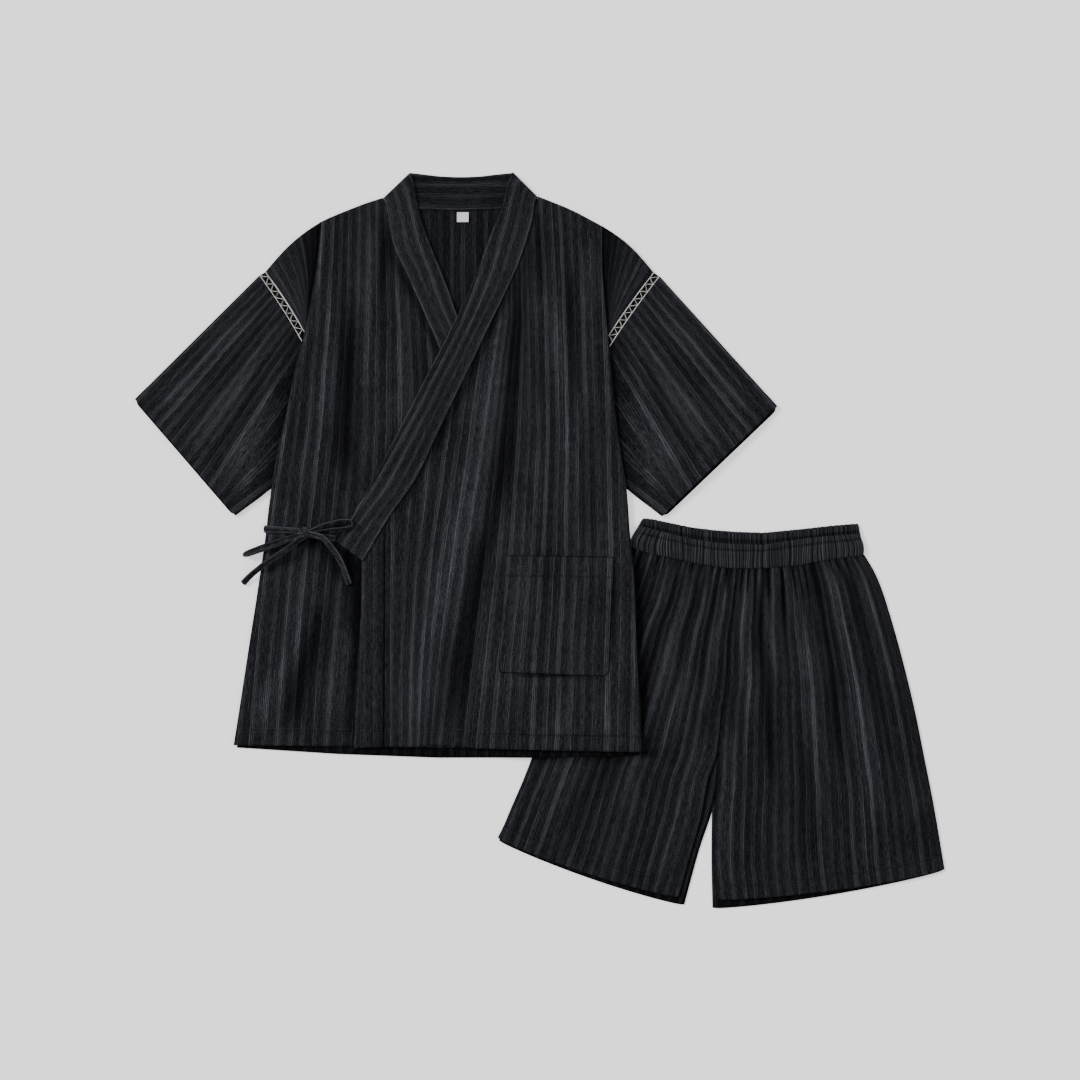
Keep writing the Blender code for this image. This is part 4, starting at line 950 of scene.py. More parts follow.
# Collar: one long band folded double, sewn round the neck and down both fronts, topstitched along both
# edges and rolled over at the shoulders. Its stripes run along it.
CollarRow = namedtuple("CollarRow", "sewn_x sewn_y free_x free_y z")
COLLAR_ROWS = [CollarRow(*row) for row in (
    (-241, -29, -278, -2, 7.2),
    (-222, 4, -268, 12, 7.2),
    (-203, 35, -255, 34, 7.2),
    (-170.5, 81, -230, 80, 7.2),
    (-134, 157, -196, 143, 7.2),
    (-98, 231, -160, 213, 7.2),
    (-70, 290, -132, 268, 7.2),
    (-48, 335, -108, 316, 7.2),
    (-31, 372, -88, 362, 7.2),
    (-16.5, 412, -67, 417, 7.2),
    (-9, 440, -52, 455, 7.2),
    (-6.0, 463, -41.2, 495, 7.0),
    (-3.4, 467, -37.6, 501, 5.8),
    (-2.8, 468, -36.8, 501.9, 3.9),
    (-3.8, 466.6, -38.2, 501.4, 1.6),
    (-6, 464.6, -43, 501.0, 0.6),
    (-56, 451.6, -66, 498.6, 0.6),
    (-85, 450.8, -84, 496.6, 0.6),
    (-113, 450.0, -108, 495.8, 0.6),
    (-140, 450.8, -132.5, 496.6, 0.6),
    (-167, 451.6, -152, 498.6, 0.6),
    (-211, 463.6, -172, 501.0, 0.6),
    (-215.3, 465.3, -177.6, 501.6, 1.2),
    (-216, 466, -178.4, 501.9, 2.3),
    (-215, 465, -177.2, 501, 3.4),
    (-212.6, 462, -174.8, 495, 4.0),
    (-207.5, 436, -166, 452, 4.0),
    (-200.3, 402, -152, 408, 4.0),
    (-185.3, 370, -134, 364, 4.0),
    (-165.5, 327, -113, 308, 4.0),
    (-134.8, 256, -88, 248, 4.0),
    (-98.6, 180, -52, 174, 4.0),
    (-60, 100, -12, 98, 4.0),
    (-24.7, 25, 22, 30, 4.0),
    (1, -29, 38, -2, 4.0),
)]
COLLAR_CREASES = (
    Crease((0.5, 0.5), (10, 12), ((-30, 440), (-60, 360), (-110, 250))),
    Crease((-0.45, -0.4), (8, 10), ((-52, 420), (-84, 330), (-128, 240))),
    Crease((0.5, 0.4), (9, 12), ((-130, 200), (-180, 110), (-230, 40))),
    Crease((0.5, 0.4), (8, 10), ((-190, 440), (-172, 380), (-140, 310))),
)
COLLAR_STITCH = 4.2
COLLAR_WALL = 1.5
COLLAR_LOWEST = 0.9


def make_collar():
    lines = even_curve(COLLAR_ROWS, 430, slice(0, 5))
    across = np.linspace(0.0, 1.0, 44)
    sewn_x, sewn_y, free_x, free_y, height = lines.T[:, :, None]
    x = between(sewn_x, free_x, across)
    y = between(sewn_y, free_y, across)
    width = np.hypot(free_x - sewn_x, free_y - sewn_y)
    inner, outer = width * (1.0 - across), width * across
    edge = np.minimum(inner, outer)
    stitched = bell(edge - COLLAR_STITCH, 0.9)
    crown = 0.35 * np.sin(math.pi * across) - 0.40 * stitched - 0.55 * bell(edge, 1.3)
    on_top = np.where(height > 3.0, 1.0, 0.0)
    z = height + lift(x, y) + crown * np.where(height > COLLAR_LOWEST, 1.0, 0.6)
    z += crease_heights(x, y, COLLAR_CREASES) * on_top + 0.25 * cloth_waves(x, y, 0.02, 0.02, 9.0) * on_top
    along = running_length((lines[:, :2] + lines[:, 2:4]) / 2)[:, None]
    # Painted highlight just inside both edges, painted shade in the stitch lines, the back stand painted darker
    # and the rest lighter
    painted_shading = 0.30 * bell(edge - 1.6, 1.4) - 0.48 * stitched + np.where(height < COLLAR_LOWEST, -0.25, 0.12)
    return surface(x, y, np.maximum(z, COLLAR_LOWEST)), surface(outer, along), painted_shading


collar_grid, collar_map, collar_painted_shading = make_collar()
collar = lay_cloth("collar_band", collar_grid, collar_map, cotton("collar_cotton", 0.001), collar_painted_shading,
                   wall=COLLAR_WALL)
collar_sides = collar_grid.transpose(1, 0, 2)
collar_seams = sew("collar_stitches", [line_inside(sides, COLLAR_STITCH)[3:-3]
                                       for sides in (collar_sides, collar_sides[::-1])], raise_by=0.82)
declare_cloth(collar, "collar")

# Sleeves: wide flat tubes of one piece, folded at the shoulder edge and at the underarm, sewn to the lace at
# the armhole and turned up at the cuff. The stripes run from the lace to the cuff.
SleeveCut = namedtuple("SleeveCut", "armhole cuff")
SLEEVE_RIGHT = SleeveCut(
    ((-382.3, 359.8), (-352.7, 315.6), (-324.4, 269.4), (-306, 236), (-328, 150), (-347, 86)),
    ((-551.7, 190.8), (-417.3, 35.1)))
SLEEVE_LEFT = SleeveCut(
    ((162.5, 358.4), (126.9, 310.8), (93.8, 261.8), (66, 234), (82, 150), (96, 88)),
    ((322.5, 181.2), (168.2, 33.8)))
SLEEVE_RIGHT_CREASES = (
    Crease((1.6, 3.6), (9, 15), ((-372, 330), (-412, 282), (-470, 220), (-520, 170))),
    Crease((2.6, 3.4), (9, 14), ((-352, 300), (-384, 246), (-430, 176), (-478, 118))),
    Crease((-1.0, -1.6), (8, 12), ((-364, 318), (-398, 262), (-450, 196), (-500, 142))),
    Crease((3.0, 3.6), (9, 13), ((-346, 262), (-366, 206), (-392, 144), (-430, 84))),
    Crease((-1.4, -2.0), (8, 11), ((-350, 280), (-376, 226), (-412, 160), (-452, 100))),
    Crease((2.6, 2.6), (9, 10), ((-352, 200), (-368, 148), (-388, 100), (-410, 60))),
)
SLEEVE_LEFT_CREASES = (
    Crease((1.6, 3.4), (9, 15), ((150, 332), (188, 286), (240, 224), (288, 168))),
    Crease((2.4, 3.2), (9, 14), ((128, 300), (158, 250), (200, 184), (244, 122))),
    Crease((-1.0, -1.6), (8, 12), ((142, 318), (176, 262), (222, 200), (266, 146))),
    Crease((3.0, 3.2), (9, 13), ((124, 262), (140, 206), (164, 144), (196, 86))),
    Crease((-1.4, -2.0), (8, 11), ((126, 280), (150, 226), (182, 160), (222, 104))),
    Crease((2.4, 2.4), (9, 10), ((122, 200), (134, 148), (150, 104), (164, 72))),
)
SLEEVE_TOP_Z = 4.0
SLEEVE_UNDER_Z = 2.3
SLEEVE_WIDTH = 206.0
SLEEVE_LENGTH = 225.0
LACE_ENDS_AT = 0.76    # how far down the armhole the lace reaches
RIGHT_CUFF_SHOWS = 2.6
LEFT_CUFF_SHOWS = 3.4
CUFF_STITCH = 20.0
TURN_STEPS = (36, 72, 108, 144)
TURN_STEP_CLOTH = 1.2


def along_points(points, t):
    """Points at t (0 to 1, by index) along a short list of points."""
    places = np.linspace(0.0, 1.0, len(points))
    return np.interp(t, places, [x for x, _ in points]), np.interp(t, places, [y for _, y in points])


def turned_edge(near, far, outward, lean=0.0):
    """Points round a folded edge from the end of one side of the cloth to the start of the other."""
    half = (near - far) / 2 * (lean, lean, 1.0)
    points = []
    for turn in (math.radians(angle) for angle in TURN_STEPS):
        point = (near + far) / 2 + half * math.cos(turn)
        point[:, :2] += np.asarray(outward) * (np.abs(half[:, 2]) * math.sin(turn))[:, None]
        points.append(point)
    return np.stack(points, axis=1)


def make_sleeve(name, node, cut, creases, front_rows, side, seed, cuff_shows):
    out = np.linspace(0.0, 1.0, 110)[:, None]
    upper_t = np.linspace(0.0, 1.0, 92)
    lower_t = np.linspace(1.0, 0.0, 44)

    def place(t):
        at_lace = np.where(t < LACE_ENDS_AT, 0.4 * t / LACE_ENDS_AT,
                           0.4 + 0.6 * (t - LACE_ENDS_AT) / (1.0 - LACE_ENDS_AT))
        at_lace = between(at_lace, t, smooth((t - 0.86) / 0.14))
        inner_x, inner_y = along_points(cut.armhole, at_lace)
        outer_x, outer_y = along_points(cut.cuff, t)
        sway = 7.0 * np.sin(math.pi * out) * np.sin(math.pi * t) * (1.0 - out)
        return between(inner_x, outer_x, out) - side * sway * 0.6, between(inner_y, outer_y, out) + sway

    # Upper side: it sinks where the body lies close over it
    x, y = place(upper_t)
    flat = 1.0 - smooth((out - 0.34) / 0.2)
    edge = smooth(out / 0.06) * smooth(upper_t / 0.06) * smooth((1.0 - upper_t) / 0.07)
    fold_x = np.interp(y, [row.fold_y for row in front_rows][::-1], [row.fold_x for row in front_rows][::-1])
    from_body = np.maximum((x - fold_x) * side, 0.0)
    puff = 3.4 * smooth(out / 0.35) * np.sin(math.pi * upper_t) ** 0.7
    sink = 1.0 - 0.95 * np.exp(-(from_body / 24.0) ** 1.6)
    folded = crease_heights(x, y, creases)
    waves = 0.35 * cloth_waves(x, y, 0.03, 0.03, seed)
    hem = 0.45 * smooth((out - 0.905) / 0.006)
    z = SLEEVE_TOP_Z + (puff + folded + waves) * edge * sink + hem
    upper = surface(x, y, np.maximum(z, SLEEVE_UNDER_Z * flat + 1.6))
    # Painted light and shade: lighter on ridges and darker in troughs, painted shade beside the body's fold and
    # a painted highlight at the shoulder edge
    upper_painted_shading = folded / 6.5 * edge * sink - 0.80 * np.exp(-(from_body / 17.0) ** 1.5)
    upper_painted_shading = upper_painted_shading + 0.25 * bell(upper_t, 0.02)

    # Lower side: it lies on the back near the armhole, and its cuff shows past the upper one
    x, y = place(lower_t)
    on_back = smooth((lower_t - 0.32) / 0.08) * flat
    shows = cuff_shows * smooth((out - 0.88) / 0.12) * smooth(np.minimum(lower_t, 1.0 - lower_t) / 0.03)
    run = np.array(cut.cuff[0]) - cut.armhole[0]
    run = run / np.linalg.norm(run)
    lower = surface(x + run[0] * shows, y + run[1] * shows, between(BACK_Z, SLEEVE_UNDER_Z, on_back))

    down = upper[:, -1, :2] - upper[:, 0, :2]
    down /= np.linalg.norm(down, axis=1)[:, None]
    underarm = turned_edge(upper[:, -1], lower[:, 0], down)
    shoulder = turned_edge(lower[:, -1], upper[:, 0], -down)
    grid = np.concatenate([upper, underarm, lower, shoulder], axis=1)
    turn = np.arange(1, 5) * TURN_STEP_CLOTH
    around = np.concatenate([upper_t * SLEEVE_WIDTH, SLEEVE_WIDTH + turn, SLEEVE_WIDTH * (2.0 - lower_t) + 6.0,
                             2 * SLEEVE_WIDTH + 6.0 + turn, [2 * SLEEVE_WIDTH + 12.0]])
    # Painted shade on the turns and the under side, darkest towards the cuff
    plain = np.full((len(out), grid.shape[1] - upper.shape[1]), -0.25) - 0.75 * smooth((out - 0.90) / 0.06)
    piece = lay_cloth(name, grid, surface(around, out * SLEEVE_LENGTH), cotton(name + "_cotton", 0.005),
                      np.hstack([upper_painted_shading, plain]), ring=True)
    seams = sew(name + "_stitches", [line_inside(upper, CUFF_STITCH)[2:-2]])
    declare_cloth(piece, node)


make_sleeve("right_sleeve", "sleeve_right", SLEEVE_RIGHT, SLEEVE_RIGHT_CREASES, FRONT_RIGHT_ROWS, -1, 21.0,
            RIGHT_CUFF_SHOWS)
make_sleeve("left_sleeve", "sleeve_left", SLEEVE_LEFT, SLEEVE_LEFT_CREASES, FRONT_LEFT_ROWS, 1, 27.0,
            LEFT_CUFF_SHOWS)

# Lace trims: a narrow ladder lace set into each shoulder seam, two white cords with a zigzag thread between
# them over the dark seam allowance. It goes over the shoulder edge to the underside.
LaceCut = namedtuple("LaceCut", "low_x low_y high_x high_y out_x out_y")
LACE_WIDTH = 10.8
LACE_BOW = 1.4
LACE_RIGHT = LaceCut(-316.0, 276.2, -373.3, 365.3, -0.842, -0.540)
LACE_LEFT = LaceCut(85.6, 268.2, 153.8, 364.4, 0.816, -0.578)
LACE_PITCH = 12.0
RAIL_INSET = 0.9
RAIL_RADIUS = 0.46
ZIGZAG_INSET = 1.2
ZIGZAG_RADIUS = 0.27
THREAD_SIDES = 6


LACE_THREAD = mottled("lace_thread", 900.0, (0.40, 0.39, 0.37), (0.84, 0.83, 0.81), 0.7, sheen=0.2, strength=0.5,
                      depth=0.0004)


def thread_tube(line, radius):
    """Points and faces of a thin closed tube along a line."""
    line = np.asarray(line, float)
    along = np.gradient(line, axis=0)
    along /= np.linalg.norm(along, axis=1)[:, None] + 1e-9
    side = np.cross(along, (0.0, 0.0, 1.0))
    side /= np.linalg.norm(side, axis=1)[:, None] + 1e-9
    up = np.cross(side, along)
    turns = [math.tau * step / THREAD_SIDES for step in range(THREAD_SIDES)]
    points = [place + (s * math.cos(turn) + u * math.sin(turn)) * radius
              for place, s, u in zip(line, side, up) for turn in turns]
    faces = tube_faces(len(line), THREAD_SIDES)
    faces.append(tuple(range(THREAD_SIDES))[::-1])
    faces.append(tuple(range(len(points) - THREAD_SIDES, len(points))))
    return points, faces


def make_lace(name, node, cut):
    low = np.array((cut.low_x, cut.low_y))
    along = np.array((cut.high_x, cut.high_y)) - low
    length = np.linalg.norm(along)
    along = along / length
    outward = np.array((cut.out_x, cut.out_y))
    radius = (SLEEVE_TOP_Z - BACK_Z) / 2
    turn_length = math.pi * radius
    whole = length + turn_length + 0.9 * length

    def at(distance, reach, proud):
        """A point of the trim at a distance along it and across it, standing proud of its middle."""
        reach = reach - LACE_BOW * math.sin(math.pi * min(distance, length) / length)
        if distance < length:
            return (*(low + along * distance + outward * reach), SLEEVE_TOP_Z + proud)
        if distance < length + turn_length:
            turn = (distance - length) / radius
            past = (radius + proud) * math.sin(turn)
            flat = low + along * (length + past) + outward * reach
            return (*flat, BACK_Z + radius + (radius + proud) * math.cos(turn))
        back = distance - length - turn_length
        return (*(low + along * (length - back) + outward * reach), max(BACK_Z - proud, 0.75))

    # The dark seam allowance under the trim
    stations = np.linspace(0.0, whole, 130)
    grid = np.array([[at(d, 0.4 + (LACE_WIDTH - 0.8) * c / 6, -0.35) for c in range(7)] for d in stations])
    cloth_map = np.array([[(d, LACE_WIDTH * c / 6) for c in range(7)] for d in stations])
    in_shade = np.full(grid.shape[:2], -0.75)
    ground = lay_cloth(name, grid, cloth_map, cotton(name + "_cotton", 0.007), in_shade, wall=0.8)

    # Its two rails, and two threads that go from one to the other
    lines = [([at(d, reach + 0.15 * math.cos(d * 1.9), 0.45) for d in np.arange(1.2, whole, 0.8)], RAIL_RADIUS)
             for reach in (RAIL_INSET, LACE_WIDTH - RAIL_INSET)]
    for shift in (0.0, 1.4):
        zigzag = []
        for step in range(1, int(whole / (LACE_PITCH / 2))):
            reach = LACE_WIDTH - ZIGZAG_INSET if step % 2 else ZIGZAG_INSET
            uneven = 0.8 * math.sin(step * 2.4)
            zigzag.append(at((step + 0.5) * LACE_PITCH / 2 + shift * (step % 2) + uneven, reach, 0.35))
        lines.append((zigzag, ZIGZAG_RADIUS))
    points, faces = [], []
    for line, thick in lines:
        more_points, more_faces = thread_tube(line, thick)
        faces.extend(tuple(len(points) + corner for corner in face) for face in more_faces)
        points.extend(more_points)
    threads = new_piece(name + "_threads", points, faces, LACE_THREAD)
    declare(threads, "lace_trim")
    declare_cloth(ground, node)


make_lace("right_lace", "lace_right", LACE_RIGHT)
make_lace("left_lace", "lace_left", LACE_LEFT)

# Pocket: a patch of the same cotton on the left front, its mouth hemmed and its sides and foot topstitched.
PocketRow = namedtuple("PocketRow", "left_x left_y right_x right_y")
POCKET_ROWS = [PocketRow(*row) for row in (
    (-46, -20.8, 101.4, -22.9),
    (-48, -48, 100.4, -50),
    (-51, -88, 98, -92),
    (-54, -128, 96, -134),
    (-56.6, -181, 94, -185.4),
)]
POCKET_HEIGHT = 1.7
POCKET_CORNER = 9.0
POCKET_HEM = 28.0
POCKET_STITCH = 2.4


def make_pocket():
    left_x, left_y, right_x, right_y = even_curve(POCKET_ROWS, 76, slice(0, 2)).T[:, :, None]
    across = np.linspace(0.0, 1.0, 70)
    from_foot = np.hypot(left_x - left_x[-1], left_y - left_y[-1])
    cut = np.clip(1.0 - from_foot / POCKET_CORNER, 0.0, 1.0)
    inset = POCKET_CORNER * (1.0 - np.sqrt(1.0 - cut ** 2))
    left_x, right_x = left_x + inset * 0.3, right_x - inset
    x = between(left_x, right_x, across)
    y = between(left_y, right_y, across)
    folded, waves = front_relief(x, y, LEFT_CREASES, FRONT_SEED)
    from_top = np.hypot(x - x[0], y - y[0])
    from_side = np.minimum(x - left_x, right_x - x)
    edge = np.minimum(np.minimum(from_side, from_top), np.hypot(x - x[-1], y - y[-1]))
    double = 0.45 * smooth((POCKET_HEM - from_top) / 1.5)
    groove = 0.35 * bell(from_top - POCKET_HEM, 1.0) + 0.3 * bell(edge - POCKET_STITCH, 0.8)
    mouth = 0.8 * np.exp(-from_top / 16.0) * np.sin(math.pi * across) ** 0.6
    on_front = np.maximum(FRONT_LEFT_Z + folded + waves, lowest_left(x, y)) + lift(x, y)
    z = on_front + POCKET_HEIGHT + double - groove + mouth - 0.75 * np.exp(-edge)
    # Painted light and shade: lighter on ridges and darker in troughs, a painted highlight just inside the
    # edges, painted shade in the stitch grooves and at the very edge
    painted_shading = folded / FOLD_SHADE + 0.40 * bell(edge - 1.7, 0.8) - 0.45 * groove / 0.35 - 0.8 * bell(edge, 0.7)
    grid = surface(x, y, z)
    cloth_map = surface(across_cloth(x, y, LEFT_GRAIN) + 2.5, y)
    piece = lay_cloth("patch_pocket", grid, cloth_map, cotton("pocket_cotton"), painted_shading, wall=0.9)
    sides = grid.transpose(1, 0, 2)
    seams = sew("pocket_stitches", [
        line_inside(grid[::-1], POCKET_HEM)[1:-1], line_inside(grid[::-1], 2.6)[1:-1],
        line_inside(grid, POCKET_STITCH)[2:-2], line_inside(sides, POCKET_STITCH)[1:-2],
        line_inside(sides[::-1], POCKET_STITCH)[1:-2]])
    declare_cloth(piece, "pocket")


make_pocket()

# Size label: a small folded white tape sewn under the collar at the back neck, left blank.
LABEL_INSET = (0.0018, 0.0024, 0.0)
label_low, label_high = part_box("size_label")
bpy.ops.object.select_all(action="DESELECT")
label_size = label_high - label_low - Vector(LABEL_INSET)
bpy.ops.mesh.primitive_cube_add(size=1.0, location=(label_low + label_high) / 2, scale=label_size)
label = bpy.context.object
label.name = "blank_label"
bpy.ops.object.transform_apply(location=True, rotation=False, scale=True)
bpy.ops.object.mode_set(mode="EDIT")
bpy.ops.mesh.select_all(action="SELECT")
bpy.ops.mesh.subdivide(number_cuts=12)
bpy.ops.object.mode_set(mode="OBJECT")
for vertex in label.data.vertices:
    from_top = label_high.y - vertex.co.y
    if vertex.co.z > (label_low.z + label_high.z) / 2:
        vertex.co.z += 0.0003 * math.exp(-from_top / 0.003) + 0.00025 * math.sin(vertex.co.x * 300.0)
edges = label.modifiers.new("edges", "BEVEL")
edges.width = 0.0003
edges.segments = 2
edges.limit_method = "ANGLE"
label_tape = mottled("label_tape", 1500.0, (0.62, 0.62, 0.61), (0.82, 0.82, 0.81), 0.75, strength=0.3,
                     depth=0.0003)
label.data.materials.clear()
label.data.materials.append(label_tape)
declare(label, "label", "size_label")

# Shorts, legs: front and back panels of each leg, gathered into the waistband, joined by the crotch seam,
# turned up and stitched at the hems. The stripes fan out with the cloth from the gathers to the hem.
LegRow = namedtuple("LegRow", "in_x in_y out_x out_y")
LEG_RIGHT_ROWS = [LegRow(*row) for row in (
    (269.0, -39.6, 121.6, -6.0),
    (265.6, -68, 113, -34),
    (261.6, -104, 101, -66),
    (257.4, -134, 82, -102),
    (255, -190, 53, -166),
    (248.6, -238, 26, -222),
    (243.6, -287, -4, -284),
    (230, -329, -22, -329),
    (221, -377, -38, -366),
    (206, -430, -49, -392),
    (190, -487, -56.6, -407),
)]
LEG_LEFT_ROWS = [LegRow(*row) for row in (
    (269.8, -39.6, 441.6, -17.5),
    (266.4, -68, 454.2, -40),
    (262.4, -104, 465.8, -68),
    (258.2, -134, 477.6, -105),
    (255.8, -190, 497.2, -176),
    (249.4, -238, 511.9, -238),
    (245, -287, 524.3, -300),
    (243, -329, 533.3, -345),
    (238, -377, 540.6, -385),
    (236.4, -430, 546.4, -420),
    (241.4, -490, 551.4, -450),
)]
LEG_BACK_RIGHT_ROWS = [LegRow(*row) for row in (
    (269.0, -39.6, 121.6, -6.0),
    (263, -134, 82, -102),
    (252, -238, 26, -222),
    (243.5, -330, -6, -288),
    (235.3, -368, -38, -366),
    (217, -423.5, -49, -392),
    (196.6, -498.0, -56.8, -410.4),
)]
LEG_BACK_LEFT_ROWS = [LegRow(*row) for row in (
    (269.8, -39.6, 441.6, -17.5),
    (263.8, -134, 477.6, -105),
    (252.8, -238, 511.9, -238),
    (244.2, -330, 526.2, -310),
    (235.7, -368, 540.6, -385),
    (234.8, -430, 546.4, -420),
    (236.2, -502.4, 551.4, -450.8),
)]
# The waistband's lower edge and the upper edges of its front and back halves
BandRow = namedtuple("BandRow", "x bottom_y top_y back_top_y")
BAND_ROWS = [BandRow(*row) for row in (
    (136.0, -8.6, 18.5, 29.6),
    (155.0, -16.8, 14.0, 28.0),
    (184.0, -24.6, 6.8, 22.0),
    (207.0, -30.4, 1.2, 17.2),
    (236.0, -35.2, -3.5, 13.6),
    (268.0, -38.4, -5.8, 11.2),
    (306.0, -37.6, -6.9, 10.0),
    (354.0, -34.0, 1.0, 14.6),
    (399.0, -25.4, 5.5, 19.6),
    (433.6, -20.6, 8.0, 22.4),
)]
# Each fold of a leg: place across it at the band and at the hem, where it starts and ends, width, height
LegFold = namedtuple("LegFold", "at_band at_hem starts ends width height")
LEG_RIGHT_FOLDS = [LegFold(*row) for row in (
    (0.07, 0.16, 0.02, 0.55, 0.030, 3.0),
    (0.15, 0.24, 0.00, 0.45, 0.026, -1.8),
    (0.23, 0.36, 0.03, 0.70, 0.034, 2.6),
    (0.31, 0.30, 0.02, 0.52, 0.028, -1.8),
    (0.40, 0.44, 0.05, 0.80, 0.036, 2.6),
    (0.50, 0.56, 0.02, 0.70, 0.030, -1.6),
    (0.58, 0.66, 0.04, 0.50, 0.036, 2.2),
    (0.10, 0.10, 0.50, 1.00, 0.060, 1.6),
    (0.78, 0.80, 0.30, 1.00, 0.060, 1.6),
    (0.62, 0.62, 0.45, 1.00, 0.050, -1.2),
)]
LEG_LEFT_FOLDS = [LegFold(*row) for row in (
    (0.09, 0.18, 0.02, 0.60, 0.030, 3.0),
    (0.17, 0.32, 0.02, 0.80, 0.028, -2.2),
    (0.25, 0.34, 0.03, 0.40, 0.030, 3.0),
    (0.35, 0.36, 0.00, 0.34, 0.026, -2.0),
    (0.44, 0.50, 0.03, 0.80, 0.034, 3.0),
    (0.60, 0.60, 0.02, 0.72, 0.032, -2.2),
    (0.70, 0.76, 0.02, 0.85, 0.036, 3.2),
    (0.81, 0.86, 0.02, 0.60, 0.026, -1.8),
    (0.91, 0.92, 0.02, 0.50, 0.028, 2.2),
    (0.06, 0.05, 0.50, 1.00, 0.050, 1.8),
    (0.40, 0.44, 0.55, 1.00, 0.060, -1.2),
    (0.66, 0.68, 0.60, 1.00, 0.050, 1.2),
)]
# The jacket's shadow painted on the legs: beside its edge, and under its hem
LEG_SHADES = (
    Crease((-4.2, -4.2), (15, 16), ((112, 70), (123, 10), (129, -60), (132, -150), (135, -222), (137, -289),
                                    (140, -345))),
    Crease((-2.4, -1.2), (7, 6), ((-110, -297), (-20, -298), (60, -297), (134, -292), (190, -288))),
)
HEM_BOW = 9.0
LEG_Z = 2.5
LOWEST_LEG = 1.9
LEG_COLUMNS = 150
GATHER_PITCH = 13.0
BAND_GATHER_PITCH = 4.7
BAND_TUCK = 0.6
LEG_STITCHES = (18.0, 20.6)
SEAM = -0.6            # the legs overlap a little at the crotch seam
LEG_TURNS = ((0.5, 0.15), (0.9, 0.5), (1.0, 0.9))


def band_bottom(x):
    return np.interp(x, [row.x for row in BAND_ROWS], [row.bottom_y for row in BAND_ROWS])


def gather_phase(x):
    """Count of the waistband's gathers up to x: they are uneven in width."""
    return (x / BAND_GATHER_PITCH + 0.55 * np.sin(x * 0.071) + 0.42 * np.sin(x * 0.173 + 1.0)
            + 0.17 * np.sin(x * 0.391 + 2.0))


def hem_bow(across, down):
    """How far the middle of a hem hangs below the straight line between its corners."""
    return HEM_BOW * np.sin(math.pi * across) ** 0.6 * smooth((down - 0.6) / 0.4)


def leg_points(rows, count, columns, side, free):
    """Places across and down a leg's panel, gathered up to the band: x, y, share across and share down."""
    in_x, in_y, out_x, out_y = even_curve(rows, count, slice(0, 4)).T[:, :, None]
    across = np.linspace(0.0, 1.0, columns)
    down = np.linspace(0.0, 1.0, count)[:, None]
    x = in_x + side * SEAM + (out_x - in_x - side * (SEAM + free)) * across
    y = between(in_y, out_y, across) - hem_bow(across, down)
    y = y + (band_bottom(x[0]) + BAND_TUCK - y[0]) * smooth(1.0 - down / 0.12)
    return x, y, across, down, np.hypot(out_x - in_x, out_y - in_y)


